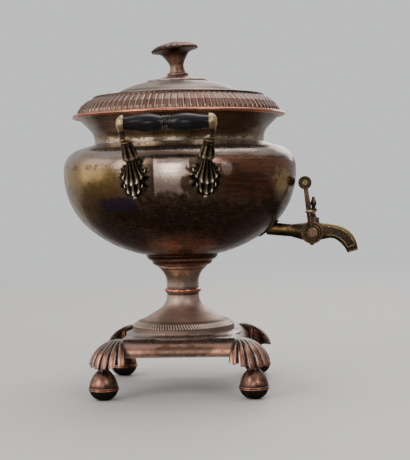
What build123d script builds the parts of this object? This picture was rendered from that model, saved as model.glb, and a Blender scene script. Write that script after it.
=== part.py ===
from build123d import *
import math
import os

os.makedirs("parts", exist_ok=True)

# A tea urn of the old silvered copper kind: a squat bowl on a waisted pedestal and a square
# plinth, two fixed handles, a lever tap and a lift-off lid. It is heated by a hot iron that
# stands in a closed tube inside the bowl.
# Millimetres and degrees. Z is the bowl's axis, the feet stand on z = 0, +X runs along the tap
# and the handles are at +Y and -Y, of which the near one is at -Y.

# Clearances
seat_gap = 0.05
running_gap = 0.05
loose_gap = 0.6
lid_gap = 0.1
nut_gap = 0.9

# How far a cut runs past what it cuts, and how primitives stand on their base
overrun = 1.0
on_base = (Align.CENTER, Align.CENTER, Align.MIN)

# Ball feet
foot_height = 35.0
foot_radius = 15.0
foot_band_height = 11.0
foot_band_bulge = 0.9
foot_bead_height = 2.0
foot_pad_radius = 4.0
foot_neck_radius = 6.4
foot_neck_height = 5.4
foot_neck_step = 0.9
foot_neck_relief = 1.0
foot_stud_radius = 2.5
foot_stud_length = 9.0
foot_outset = 8.5

# Square plinth
plinth_side = 140.0
plinth_height = 19.0
plinth_lift = 7.0
plinth_edge_round = 16.0
plinth_sheet = 1.6
seat_rise = 3.0
seat_margin = 1.5
seat_flare = 6.0

# Fluted shell corners, each a sector of a low dome round a centre inside the plinth's corner
shell_radius = 35.4
shell_set_back = 17.5
shell_drop = 12.0
shell_rise = 0.9
shell_wall = 2.2
flute_count = 7
flute_step = 17.0
flute_depth_share = 0.085
lip_tilt = 18.0
lip_drop = 28.5
notch_radius = 2.4
foot_boss_radius = 8.0

# Pedestal, from its ring on the plinth up to the cup that holds the bowl
ring_radius = 56.0
ring_edge = 3.5
border_width = 8.7
border_rise = 6.5
border_step = 1.0
border_crown = 0.8
waist_radius = 17.7
flare_turn_width = 7.8
flare_height = 40.5
bead_bulge = 2.5
bead_height = 5.0
neck_flare = 8.6
pedestal_neck_height = 24.0
pedestal_neck_edge = 1.2
cup_radius = 39.4
cup_height = 9.5
cup_foot_step = 1.0
cup_edge = 1.2
cup_crown = 1.0
cup_ledge_step = 0.4
cup_lip = 1.6
pedestal_sheet = 1.5

# Tie rod that holds bowl, pedestal and plinth together
tie_radius = 4.0
tie_nut_across = 13.0
tie_nut_height = 6.0
tie_washer_radius = 16.0
tie_washer_height = 2.0
boss_radius = 12.0
boss_drop = 16.0
tie_overhang = 2.0

# Bowl
bowl_radius = 127.2
bowl_depth = 93.0
bowl_bottom_round = 200.6
bowl_bottom_turn = 12.7
bowl_side_turn = 40.0
bowl_band = 4.5
bowl_sheet = 1.5
shoulder_round = 23.7
shoulder_slope = 17.0
neck_radius = 92.7
neck_straight = 3.4

# Flared neck and rim
flare_round = 18.0
flare_angle = 45.0
flare_run = 12.9
rim_flange = 4.1
rim_wire_radius = 2.2
rim_wire_outset = 1.5

# Gadrooned band on the rim
band_rise = 19.0
band_bottom_width = 3.0
band_seat_width = 5.1
band_seat_radius = 89.5
band_fullness = 1.8
band_sheet = 3.0
band_turns = (0, 18, 38, 58, 74)
band_inner_turns = (30, 55)
gadroon_count = 96
gadroon_depth = 1.3

# Lid
lid_edge_height = 1.6
lid_overlap = 4.0
lid_flange_width = 24.5
lid_flange_rise = 2.8
lid_step_width = 3.5
lid_step_rise = 2.2
lid_crown_radius = 35.0
lid_rise = 16.8
lid_sheet = 1.5
bezel_depth = 12.0
bezel_gap = 1.1

# Knob, bent a little towards -X as on the old urn
knob_plate_radius = 33.8
knob_plate_edge = 1.9
knob_cone_radius = 20.6
knob_cone_rise = 4.6
knob_ring_radius = 11.9
knob_ring_height = 3.6
knob_waist_radius = 7.9
knob_foot_flare = 1.6
knob_stem_sink = 1.5
knob_cap_lip = 2.0
knob_stem_height = 24.6
knob_cap_radius = 26.0
knob_cap_rise = 8.8
knob_flutes = 18
knob_flute_depth = 1.4
knob_lean = 6.5
knob_boss_radius = 5.0
knob_boss_rise = 1.4
knob_stud_radius = 3.0
knob_stud_overhang = 2.0
knob_nut_across = 13.0
knob_nut_height = 5.0

# Heater: a closed tube in the bowl, the iron that is heated in a fire, and the tube's cover
socket_radius = 27.0
socket_height = 105.0
socket_sheet = 1.5
iron_radius = 21.0
iron_height = 78.0
iron_eye_radius = 6.0
iron_eye_wire = 2.0
cover_overhang = 2.0
cover_height = 2.0
cover_spigot_depth = 6.0
cover_rise = 3.0
cover_knob_radius = 5.0
cover_knob_height = 9.0

# Tap: a cross plug in a barrel, with the spout in line
plug_outset = 15.8
plug_below_widest = 68.0
tap_drop = 6.0
barrel_radius = 12.3
barrel_length = 26.0
tube_radius = 7.0
tube_bore_radius = 4.5
tube_flare_length = 22.0
tail_radius = 5.4
tail_length = 25.0
tap_flange_radius = 9.8
tap_flange_height = 1.6
saddle_radius = 8.6
saddle_length = 16.0
lock_nut_across = 17.0
lock_nut_height = 5.0
tap_cap_radius = 6.0
tap_cap_rise = 16.0
nub_radius = 2.2
nub_drop = 14.2
spout_rise = 1.0
spout_straight = 18.0
spout_bend_radius = 26.0
spout_bend = 75.7
spout_end = 3.0
spout_bore_radius = 4.2
spout_root_height = 19.0
spout_root_width = 14.6
spout_height = 15.4
spout_width = 12.6
mouth_height = 11.6
mouth_width = 11.6
spout_corner = 2.6

# Plug of the tap
plug_radius = 7.4
plug_taper = 1.0
port_radius = 3.6
plug_head_radius = 9.0
plug_head_height = 2.5
tang_side = 3.6
tang_length = 3.0
plug_tail_radius = 3.2
plug_tail_length = 8.0
washer_radius = 7.5
washer_height = 1.2
plug_nut_across = 10.0
plug_nut_height = 4.0

# Lever of the tap
lever_length = 54.5
lever_lean = 7.2
eye_radius = 6.6
lever_thickness = 3.4
arm_foot_width = 7.0
arm_top_width = 4.4
collar_height = 23.0
collar_radius = 3.4
collar_thickness = 2.0
lever_boss_radius = 7.2
lever_boss_height = 4.6
lever_grip_radius = 7.0
lever_grip_end_radius = 5.6
lever_grip_length = 33.0
lever_rod_radius = 1.6
lever_rivet_radius = 3.2
lever_rivet_height = 1.0
lever_cap_radius = 4.4
lever_cap_height = 2.2
screw_head_radius = 4.2
screw_head_height = 1.6
screw_slot_width = 1.0
screw_slot_depth = 0.8
screw_slot_turn = 35.0
screw_radius = 1.2
screw_length = 9.0

# Finial on the tap
finial_x_offset = 2.5
finial_height = 23.0
finial_foot_radius = 3.8
finial_bead_radius = 3.8
finial_waist_radius = 2.2
finial_bud_radius = 3.3

# Side handles
grip_outset = 14.8
grip_height_above_widest = 48.0
grip_length = 84.0
grip_end_radius = 6.2
grip_bulge_radius = 8.9
grip_bulge_at = 16.5
grip_ring_radius = 7.5
grip_groove_depth = 1.1
grip_ring_pitch = 2.2
grip_ring_count = 4
grip_hole_radius = 2.2
grip_rod_radius = 2.0
knuckle_radius = 8.4
knuckle_length = 7.7
arm_inset = 3.2
arm_foot_outset = 5.6
arm_foot_above_widest = 13.0
arm_radius = 4.7
arm_ring_radius = 5.8
arm_ring_pitch = 3.0
arm_ring_count = 3
bell_length = 14.0
bell_radius = 7.4
bell_gap = 0.8
bell_lip = 0.8
arm_foot_side = 37.49495
leaf_width = 33.0
leaf_top_above_widest = 14.0
leaf_bottom_below_widest = 27.0
leaf_thickness = 4.5
leaf_hood_length = 16.0
leaf_hood_tip = 4.0
leaf_hood_step = 1.4
leaf_stud_radius = 2.5
leaf_stud_below_widest = 6.0
leaf_stud_length = 9.0
handle_nut_side = 9.0
handle_nut_height = 4.0

# Heights from the floor up
plinth_bottom_z = foot_height + plinth_lift
plinth_top_z = plinth_bottom_z + plinth_height
pedestal_z = plinth_top_z + seat_rise
bead_z = pedestal_z + flare_height
pedestal_neck_z = bead_z + bead_height
cup_z = pedestal_neck_z + pedestal_neck_height
bowl_base_z = cup_z + cup_height
widest_z = bowl_base_z + bowl_depth
shoulder_z = widest_z + bowl_band

# Places that follow from the sizes above
plinth_half = plinth_side / 2
foot_centre = plinth_half + foot_outset
shell_centre = foot_centre - shell_set_back
plug_x = bowl_radius + plug_outset
plug_z = widest_z - plug_below_widest
grip_reach = bowl_radius + grip_outset
lid_radius = band_seat_radius + lid_overlap
grip_z = widest_z + grip_height_above_widest


def turned(*edges):
    """Revolve a closed outline of edges, drawn as (radius, height), about Z."""
    return revolve(Plane.XZ * make_face(edges), Axis.Z)


def rod(radius, low, high):
    """A cylinder on the Z axis between two heights."""
    return Pos(0, 0, low) * Cylinder(radius, high - low, align=on_base)


def across_y(radius, low, high):
    """A cylinder on the Y axis between two places."""
    return Rot(-90, 0, 0) * rod(radius, low, high)


def hex_nut(across, height, bore):
    """A hexagon nut that stands on z = 0."""
    outline = RegularPolygon(across / 2, 6, major_radius=False) - Circle(bore)
    return extrude(outline, height)


def sheet_of(edges, wall):
    """A turned sheet: the edges are its outside, and the wall lies to their left."""
    outline = Wire(edges).offset_2d(wall, side=Side.LEFT, closed=True)
    return turned(*outline.edges())


def bend(start, end, end_heading):
    """An arc that arrives at its end in a given direction, and the direction in which it leaves."""
    run, rise = end[0] - start[0], end[1] - start[1]
    chord_heading = math.degrees(math.atan2(rise, run))
    swing = math.tan(math.radians(end_heading - chord_heading) / 2) / 2
    middle = (start[0] + run / 2 + rise * swing, start[1] + rise / 2 - run * swing)
    return ThreePointArc(start, middle, end), 2 * chord_heading - end_heading


def bead(radius, bulge, low, high):
    """A solid disc on the Z axis with a rounded edge."""
    return turned(
        Line((0, low), (radius, low)),
        ThreePointArc((radius, low), (radius + bulge, (low + high) / 2), (radius, high)),
        Line((radius, high), (0, high)),
        Line((0, high), (0, low)),
    )


def scalloped(radius, depth, count, height):
    """A horizontal disc whose edge is a ring of outward arcs."""
    edges = []
    for index in range(count):
        corners = [2 * math.pi * (index + part) / count for part in (0, 0.5, 1)]
        radii = (radius - depth, radius, radius - depth)
        points = [(r * math.cos(a), r * math.sin(a), height) for r, a in zip(radii, corners)]
        edges.append(ThreePointArc(*points))
    return Face(Wire(edges))


# Bowl form, which every piece on the bowl is cut to


def lower_arcs():
    """Radius, centre and end angle of the lower bowl's three tangent arcs, from its bottom upwards."""
    first = math.radians(bowl_bottom_turn)
    second = math.radians(bowl_side_turn)
    bottom = bowl_bottom_round
    # The radii of the other two arcs follow from the width and the depth that are left to them
    wide = bowl_radius - bottom * math.sin(first)
    deep = bowl_depth - bottom * (1 - math.cos(first))
    wide_middle, wide_side = math.sin(second) - math.sin(first), 1 - math.sin(second)
    deep_middle, deep_side = math.cos(first) - math.cos(second), math.cos(second)
    scale = wide_middle * deep_side - wide_side * deep_middle
    middle = (wide * deep_side - wide_side * deep) / scale
    side = (wide_middle * deep - deep_middle * wide) / scale
    bottom_centre = (0, bowl_base_z + bottom)
    middle_centre = (
        (bottom - middle) * math.sin(first),
        bottom_centre[1] - (bottom - middle) * math.cos(first),
    )
    side_centre = (bowl_radius - side, widest_z)
    return (bottom, bottom_centre, first), (middle, middle_centre, second), (side, side_centre, math.pi / 2)


def shoulder_end(grow):
    """Where the shoulder's round passes into its cone, as (radius, height)."""
    turn = math.radians(90 - shoulder_slope)
    radius = bowl_radius - shoulder_round + (shoulder_round + grow) * math.cos(turn)
    return radius, shoulder_z + (shoulder_round + grow) * math.sin(turn)


def neck_foot_z(grow):
    """Height at which the shoulder's cone meets the neck."""
    radius, height = shoulder_end(grow)
    return height + (radius - neck_radius - grow) * math.tan(math.radians(shoulder_slope))


neck_z = neck_foot_z(0) + neck_straight / 2


def bowl_form(grow):
    """The bowl as one solid up to the neck's seam, grown or shrunk by a wall."""
    lower = []
    start = 0.0
    for radius, centre, end in lower_arcs():
        turns = (start, (start + end) / 2, end)
        reach = radius + grow
        points = [(centre[0] + reach * math.sin(t), centre[1] - reach * math.cos(t)) for t in turns]
        lower.append(ThreePointArc(*points))
        start = end
    side = bowl_radius + grow
    middle_turn = math.radians((90 - shoulder_slope) / 2)
    middle = (
        bowl_radius - shoulder_round + (shoulder_round + grow) * math.cos(middle_turn),
        shoulder_z + (shoulder_round + grow) * math.sin(middle_turn),
    )
    collar = neck_radius + grow
    return turned(
        *lower,
        Line((side, widest_z), (side, shoulder_z)),
        ThreePointArc((side, shoulder_z), middle, shoulder_end(grow)),
        Line(shoulder_end(grow), (collar, neck_foot_z(grow))),
        Line((collar, neck_foot_z(grow)), (collar, neck_z)),
        Line((collar, neck_z), (0, neck_z)),
        Line((0, neck_z), (0, bowl_base_z - grow)),
    )


def bowl_underside(radius, grow):
    """Height of the lower bowl's surface at a radius."""
    for reach, centre, end in lower_arcs():
        if radius < centre[0] + (reach + grow) * math.sin(end):
            return centre[1] - math.sqrt((reach + grow) ** 2 - (radius - centre[0]) ** 2)
    return widest_z


def depth_along(start, direction, grow):
    """How far a line runs from a point outside the bowl until it meets the lower bowl."""
    near, far = 0.0, bowl_radius
    for _ in range(40):
        middle = (near + far) / 2
        point = start + direction * middle
        inside = point.Z > bowl_underside(min(math.hypot(point.X, point.Y), bowl_radius + grow), grow)
        inside = inside and math.hypot(point.X, point.Y) < bowl_radius + grow
        near, far = (near, middle) if inside else (middle, far)
    return far


bowl_outside = bowl_form(0)
bowl_seat = bowl_form(seat_gap)
bowl_inside = bowl_form(-bowl_sheet)
seam = Plane.XY.offset(shoulder_z)


# Feet and plinth


def make_foot():
    """A bulb-shaped foot with a double band round its belly and a stud on top."""
    low = foot_band_height - foot_bead_height / 2
    middle = low + foot_bead_height
    high = middle + foot_bead_height * 0.8
    crest = foot_radius + foot_band_bulge
    neck_low = foot_height - foot_neck_height
    sole = (foot_radius * 0.79, foot_band_height * 0.36)
    belly = (foot_radius * 0.78, foot_band_height + (neck_low - foot_band_height) * 0.71)
    neck_foot = (foot_neck_radius + foot_neck_step, neck_low)
    hollow = (foot_neck_radius - foot_neck_step / 2, neck_low + foot_neck_height * 0.37)
    body = turned(
        Line((0, 0), (foot_pad_radius, 0)),
        ThreePointArc((foot_pad_radius, 0), sole, (foot_radius, low)),
        ThreePointArc((foot_radius, low), (crest, foot_band_height), (foot_radius, middle)),
        ThreePointArc((foot_radius, middle), (crest, (middle + high) / 2), (foot_radius, high)),
        ThreePointArc((foot_radius, high), belly, neck_foot),
        ThreePointArc(neck_foot, hollow, (foot_neck_radius, foot_height)),
        Line((foot_neck_radius, foot_height), (0, foot_height)),
        Line((0, foot_height), (0, 0)),
    )
    return body + rod(foot_stud_radius, foot_height, foot_height + foot_stud_length)


def plinth_block(grow):
    """The plinth's outer form: a square block whose top edges roll over."""
    side = plinth_side + 2 * grow
    block = Pos(0, 0, plinth_bottom_z) * Box(side, side, plinth_height + grow, align=on_base)
    top_edges = block.faces().sort_by(Axis.Z)[-1].edges()
    return fillet(top_edges, plinth_edge_round + grow)


def make_plinth():
    """The pressed sheet plinth, hollow below, with a raised seat for the pedestal."""
    seat_radius = ring_radius + seat_margin
    outer = seat_radius + seat_flare
    low = plinth_top_z - plinth_sheet
    sweep_in = (seat_radius + seat_flare * 0.35, plinth_top_z + seat_rise * 0.35)
    seat = turned(
        Line((0, low), (outer, low)),
        Line((outer, low), (outer, plinth_top_z)),
        ThreePointArc((outer, plinth_top_z), sweep_in, (seat_radius, pedestal_z)),
        Line((seat_radius, pedestal_z), (0, pedestal_z)),
        Line((0, pedestal_z), (0, low)),
    )
    sheet = plinth_block(0) + (seat & plinth_prism()) - plinth_block(-plinth_sheet)
    return sheet - rod(tie_radius + 2 * seat_gap, plinth_bottom_z, pedestal_z)


def plinth_prism():
    """A tall block a little inside the plinth's square, which trims the pedestal's seat."""
    side = plinth_side - plinth_edge_round / 2
    return Pos(0, 0, plinth_bottom_z) * Box(side, side, 2 * plinth_height, align=on_base)


def shell_section(radius, depth, height):
    """A horizontal slice of a fluted corner: a fan of outward arcs round its centre."""
    first = 45 - flute_count * flute_step / 2
    edges = []
    for index in range(flute_count):
        turns = [math.radians(first + flute_step * (index + part)) for part in (0, 0.5, 1)]
        radii = (radius - depth, radius, radius - depth)
        points = [(r * math.cos(a), r * math.sin(a), height) for r, a in zip(radii, turns)]
        edges.append(ThreePointArc(*points))
    centre = (0, 0, height)
    edges.append(Line(edges[-1] @ 1, centre))
    edges.append(Line(centre, edges[0] @ 0))
    return Face(Wire(edges))


def shell_dome_radius(height, radius, top, drop):
    """Radius of the dome at a height, on a quarter ellipse."""
    share = (height - (top - drop)) / drop
    return radius * math.sqrt(1 - share * share)


def make_corner_shell(block):
    """One fluted shell corner, hollow below, with the boss that takes the foot's stud."""
    top = plinth_top_z + shell_rise
    drop = plinth_height + shell_drop
    shares = (0.06, 0.36, 0.6, 0.8, 0.92, 0.985)
    heights = [top - drop + drop * share for share in shares]
    sections = []
    for height in heights:
        radius = shell_dome_radius(height, shell_radius, top, drop)
        sections.append(shell_section(radius, radius * flute_depth_share, height))
    outside = loft(sections)

    inner_radius = shell_radius * (1 - flute_depth_share) - shell_wall
    inner_top = top - shell_wall
    inner_heights = [inner_top - drop * (1 - share) for share in (0, 0.35, 0.6, 0.8, 0.95)]
    curve = [(shell_dome_radius(h, inner_radius, inner_top, drop), h) for h in inner_heights]
    edge = curve[0][0]
    low = curve[0][1] - 2 * shell_wall
    dome = turned(
        Spline(*curve, (0, inner_top), tangents=[(0, 1), (-1, 0)]),
        Line((0, inner_top), (0, low)),
        Line((0, low), (edge, low)),
        Line((edge, low), curve[0]),
    )
    foot_at = Pos(shell_set_back, shell_set_back, 0)
    boss = foot_at * rod(foot_boss_radius, foot_height, plinth_top_z)
    body = outside - (dome - boss)

    # The lip rises from the corner's tip towards the plinth's sides, with a notch in each valley
    tilt = math.radians(lip_tilt)
    diagonal = math.sqrt(0.5)
    outward = diagonal * math.sin(tilt)
    cut_size = 4 * shell_radius
    lip_plane = Plane(
        origin=(shell_radius * diagonal, shell_radius * diagonal, top - lip_drop),
        x_dir=(-diagonal, diagonal, 0),
        z_dir=(outward, outward, math.cos(tilt)),
    )
    below_lip = lip_plane.location * (Pos(0, 0, -cut_size / 2) * Box(cut_size, cut_size, cut_size))
    body = body - (below_lip - boss)
    for index in range(1, flute_count):
        turn = math.radians(45 - flute_count * flute_step / 2 + flute_step * index)
        outwards = Vector(math.cos(turn), math.sin(turn), 0)
        reach = shell_radius * (1 - math.cos(turn - math.pi / 4))
        lip_z = top - lip_drop + reach * math.tan(tilt)
        start = outwards * (shell_radius * 0.7) + Vector(0, 0, lip_z)
        notch = Plane(origin=start, z_dir=outwards).location * rod(notch_radius, 0, shell_radius)
        body = body - notch
    stud_top = foot_height + foot_stud_length + overrun
    body = body - foot_at * rod(foot_stud_radius + seat_gap, foot_height - overrun, stud_top)
    body = body - foot_at * rod(foot_neck_radius + foot_neck_relief, 0, foot_height)
    body = Pos(shell_centre, shell_centre, 0) * body - block
    return body.solids().sort_by(SortBy.VOLUME)[-1]


# Pedestal and tie rod


def make_pedestal_foot():
    """The flared lower part, from the ring with its border up to the waist."""
    base = pedestal_z
    border_z = base + ring_edge + border_rise
    border_radius = ring_radius - border_width
    flare_radius = border_radius - border_step
    start = (flare_radius, border_z + border_step)
    turn = (waist_radius + flare_turn_width, base + flare_height * 0.57)
    end = (waist_radius, base + flare_height * 0.925)
    bulge = (
        (ring_radius + border_radius) / 2 + border_crown,
        (base + ring_edge + border_z) / 2 + border_crown,
    )
    waist, waist_heading = bend(turn, end, 90)
    slope, _ = bend(start, turn, waist_heading)
    edges = [
        Line((ring_radius, base), (ring_radius, base + ring_edge)),
        ThreePointArc((ring_radius, base + ring_edge), bulge, (border_radius, border_z)),
        Line((border_radius, border_z), start),
        slope,
        waist,
        Line(end, (waist_radius, bead_z)),
    ]
    return sheet_of(edges, pedestal_sheet)


def make_bead():
    """The round bead at the waist."""
    inner = waist_radius - 3 * pedestal_sheet
    low, high = bead_z, pedestal_neck_z
    crest = (waist_radius + bead_bulge, (low + high) / 2)
    return turned(
        Line((inner, low), (waist_radius, low)),
        ThreePointArc((waist_radius, low), crest, (waist_radius, high)),
        Line((waist_radius, high), (inner, high)),
        Line((inner, high), (inner, low)),
    )


def make_pedestal_neck():
    """The upper part of the waist, which flares out below the cup."""
    low, high = pedestal_neck_z, cup_z
    top_radius = waist_radius + neck_flare
    height = high - low
    flare_low = (waist_radius, low + height * 0.25)
    flare_middle = (waist_radius + neck_flare * 0.265, low + height * 0.64)
    flare_high = (top_radius, high - pedestal_neck_edge)
    edges = [
        Line((waist_radius, low), flare_low),
        ThreePointArc(flare_low, flare_middle, flare_high),
        Line(flare_high, (top_radius, high)),
    ]
    return sheet_of(edges, pedestal_sheet)


def make_cup():
    """The cup under the bowl, with a stepped ledge round its outside."""
    low = cup_z
    foot = waist_radius + neck_flare + cup_foot_step
    ledge = foot + (cup_radius - foot) * 0.48
    rise = bowl_underside(cup_radius, 0) - low
    bore = boss_radius + seat_gap
    ledge_low = (ledge, low + rise * 0.34)
    ledge_high = (ledge + cup_ledge_step, low + rise * 0.5)
    lip = (cup_radius, low + rise * 0.92)
    top = low + 2 * rise
    lower_bulge = ((foot + ledge) / 2 + cup_crown, low + cup_edge + cup_crown)
    solid = turned(
        Line((bore, low), (foot, low)),
        Line((foot, low), (foot, low + cup_edge)),
        ThreePointArc((foot, low + cup_edge), lower_bulge, ledge_low),
        Line(ledge_low, ledge_high),
        ThreePointArc(ledge_high, (cup_radius - cup_lip, low + rise * 0.68), lip),
        Line(lip, (cup_radius, top)),
        Line((cup_radius, top), (bore, top)),
        Line((bore, top), (bore, low)),
    )
    return solid - bowl_seat


def make_bowl_boss():
    """The threaded boss under the bowl's bottom, which takes the tie rod."""
    low = bowl_base_z - boss_drop
    body = rod(boss_radius, low, widest_z) - bowl_seat
    return body - rod(tie_radius + seat_gap, low, boss_hole_z)


boss_hole_z = bowl_base_z - boss_drop / 4
tie_top_z = boss_hole_z - overrun
washer_top_z = plinth_top_z - plinth_sheet
tie_nut_top_z = washer_top_z - tie_washer_height
tie_bottom_z = tie_nut_top_z - tie_nut_height - tie_overhang


# Bowl, neck and rim


def make_lower_bowl(holes):
    """The raised lower bowl, up to the seam at its widest."""
    body = split(bowl_outside - bowl_inside, bisect_by=seam, keep=Keep.BOTTOM)
    for hole in holes:
        body = body - hole
    return body


def make_shoulder():
    """The shoulder ring, from the widest seam up to the neck."""
    return split(bowl_outside - bowl_inside, bisect_by=seam, keep=Keep.TOP)


flare_turn = math.radians(flare_angle)
flare_foot_z = neck_z + neck_straight / 2
flare_start = (
    neck_radius + flare_round * (1 - math.cos(flare_turn)),
    flare_foot_z + flare_round * math.sin(flare_turn),
)
flare_end = (flare_start[0] + flare_run, flare_start[1] + flare_run / math.tan(flare_turn))
rim_z = flare_end[1] + bowl_sheet
rim_flange_radius = flare_end[0] + rim_flange


def make_neck():
    """The flared neck with a narrow flange at its top."""
    half = flare_turn / 2
    middle = (
        neck_radius + flare_round * (1 - math.cos(half)),
        flare_foot_z + flare_round * math.sin(half),
    )
    edges = [
        Line((neck_radius, neck_z), (neck_radius, flare_foot_z)),
        ThreePointArc((neck_radius, flare_foot_z), middle, flare_start),
        Line(flare_start, flare_end),
        Line(flare_end, (rim_flange_radius, flare_end[1])),
    ]
    return sheet_of(edges, bowl_sheet)


rim_wire_centre = rim_flange_radius - rim_wire_radius + rim_wire_outset


def make_rim_wire():
    """The copper wire that closes the edge of the neck's flange."""
    wire = Pos(0, 0, rim_z - bowl_sheet / 2) * Torus(rim_wire_centre, rim_wire_radius)
    slot_low = rim_z - bowl_sheet - seat_gap
    slot = rod(rim_flange_radius + seat_gap, slot_low, rim_z + seat_gap)
    return wire - slot


band_edge_radius = rim_wire_centre - rim_wire_radius - 2 * seat_gap
band_top_z = rim_z + band_rise


def band_point(turn, inset):
    """A point of the band's outside, from its foot at 0 to its top at 90 degrees."""
    power = 2 / band_fullness
    width = band_edge_radius - band_seat_radius - inset
    rise = band_rise - inset
    angle = math.radians(turn)
    return band_seat_radius + width * math.cos(angle) ** power, rim_z + rise * math.sin(angle) ** power


def make_gadrooned_band():
    """The domed band of the rim, with gadroons running up to the lid's seat."""
    sections = []
    for turn in band_turns:
        radius, height = band_point(turn, 0)
        depth = gadroon_depth * (0.4 + 0.6 * math.cos(math.radians(turn)))
        sections.append(scalloped(radius, depth, gadroon_count, height))
    seat_outer = band_seat_radius + band_seat_width
    sections.append(scalloped(seat_outer, gadroon_depth * 0.2, gadroon_count, band_top_z))
    first, second = [band_point(turn, band_sheet) for turn in band_inner_turns]
    foot = band_edge_radius - band_bottom_width
    first = (min(foot, first[0]), first[1])
    seat_low = (band_seat_radius, band_top_z - band_sheet)
    low, high = rim_z - overrun, band_top_z + overrun
    hollow = turned(
        Line((0, low), (foot, low)),
        Line((foot, low), (foot, rim_z)),
        Line((foot, rim_z), first),
        Line(first, second),
        Line(second, seat_low),
        Line(seat_low, (band_seat_radius, high)),
        Line((band_seat_radius, high), (0, high)),
        Line((0, high), (0, low)),
    )
    return loft(sections, ruled=True) - hollow


# Lid and knob

lid_z = band_top_z + lid_gap
lid_top_z = lid_z + lid_rise


def make_lid():
    """The low dome of the lid with its wide flat flange."""
    edge_z = lid_z + lid_edge_height
    inner_radius = lid_radius - lid_flange_width
    inner_z = edge_z + lid_flange_rise
    dome_foot = (inner_radius - lid_step_width, inner_z + lid_step_rise)
    crown = (lid_crown_radius, lid_top_z)
    dome_middle = ((dome_foot[0] + crown[0]) / 2, dome_foot[1] + (crown[1] - dome_foot[1]) * 0.65)
    edges = [
        Line((lid_radius, lid_z), (lid_radius, edge_z)),
        Line((lid_radius, edge_z), (inner_radius, inner_z)),
        Line((inner_radius, inner_z), dome_foot),
        ThreePointArc(dome_foot, dome_middle, crown),
        Line(crown, (0, lid_top_z)),
    ]
    return sheet_of(edges, lid_sheet) - rod(knob_stud_radius + 2 * seat_gap, lid_z, lid_top_z + overrun)


def make_bezel():
    """The ring under the lid that keeps it on the rim."""
    outer = band_seat_radius - bezel_gap
    slope = lid_flange_rise / lid_flange_width
    flange_z = lid_z + lid_edge_height + (lid_radius - outer) * slope
    top = flange_z - lid_sheet * math.hypot(1, slope) - seat_gap
    return rod(outer, top - bezel_depth, top) - rod(outer - lid_sheet, top - bezel_depth, top)


def make_knob_plate():
    """The plate under the knob, which rises to the knob's foot."""
    z = lid_top_z
    edge = z + knob_plate_edge
    cone_top = edge + knob_cone_rise
    foot = knob_ring_radius + 0.8
    cone_middle = ((knob_cone_radius + foot) / 2 + 1, edge + knob_cone_rise * 0.62)
    plate = bead(knob_plate_radius, 0.5, z, edge)
    cone = turned(
        Line((0, edge), (knob_cone_radius, edge)),
        ThreePointArc((knob_cone_radius, edge), cone_middle, (foot, cone_top)),
        Line((foot, cone_top), (0, cone_top)),
        Line((0, cone_top), (0, edge)),
    )
    return plate + cone - rod(knob_stud_radius + 2 * seat_gap, z, cone_top)


knob_z = lid_top_z + knob_plate_edge + knob_cone_rise
knob_stud_low_z = lid_top_z - lid_sheet - knob_nut_height - knob_stud_overhang


def make_knob():
    """The mushroom knob: a straight foot ring and stud, a stem that leans, and a fluted cap."""
    ring_top = knob_z + knob_ring_height
    foot = bead(knob_ring_radius - 0.8, 0.8, knob_z, ring_top)
    stud = rod(knob_stud_radius, knob_stud_low_z, knob_z)
    h = knob_stem_height
    under = (knob_cap_radius - knob_cap_lip, h)
    stem_foot = (knob_waist_radius + knob_foot_flare, -knob_stem_sink)
    waist = (knob_waist_radius, h * 0.38)
    throat = (knob_waist_radius * 1.53, h * 0.7)
    stem = turned(
        Line((0, -knob_stem_sink), stem_foot),
        Spline(stem_foot, waist, throat, under, tangents=[(-0.25, 1), (1, 0.22)]),
        Line(under, (0, h)),
        Line((0, h), (0, -knob_stem_sink)),
    )
    # Shares of the cap's rise, its radius and its flutes' depth, from its lip to its top
    shares = (
        (0, 0.965, 0.5),
        (0.16, 1, 0.9),
        (0.48, 0.9, 1),
        (0.76, 0.69, 0.8),
        (0.92, 0.46, 0.5),
        (1, 0.24, 0.15),
    )
    sections = [
        scalloped(knob_cap_radius * wide, knob_flute_depth * deep, knob_flutes, h + knob_cap_rise * high)
        for high, wide, deep in shares
    ]
    cap = loft(sections)
    button_low = h + knob_cap_rise - overrun
    button_top = (0, h + knob_cap_rise + knob_boss_rise)
    button = turned(
        Line((0, button_low), (knob_boss_radius, button_low)),
        Spline((knob_boss_radius, button_low), button_top, tangents=[(-0.3, 1), (-1, 0)]),
        Line(button_top, (0, button_low)),
    )
    leaning = Pos(0, 0, ring_top) * Rot(0, -knob_lean, 0) * (stem + cap + button)
    return foot + stud + leaning


# Heater inside the bowl

socket_z = bowl_underside(socket_radius, -bowl_sheet) + seat_gap
socket_top_z = socket_z + socket_height
iron_z = socket_z + socket_sheet
cover_z = socket_top_z


def make_heater_socket():
    """The closed tube that keeps the water off the iron."""
    bore = rod(socket_radius - socket_sheet, iron_z, socket_top_z)
    return rod(socket_radius, socket_z, socket_top_z) - bore


def make_heater_iron():
    """The iron, with an eye on top for the hook that lifts it."""
    top = iron_z + iron_height
    body = chamfer(rod(iron_radius, iron_z, top).edges(), 2)
    eye = Pos(0, 0, top + iron_eye_radius) * Rot(90, 0, 0) * Torus(iron_eye_radius, iron_eye_wire)
    return body + eye


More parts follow.
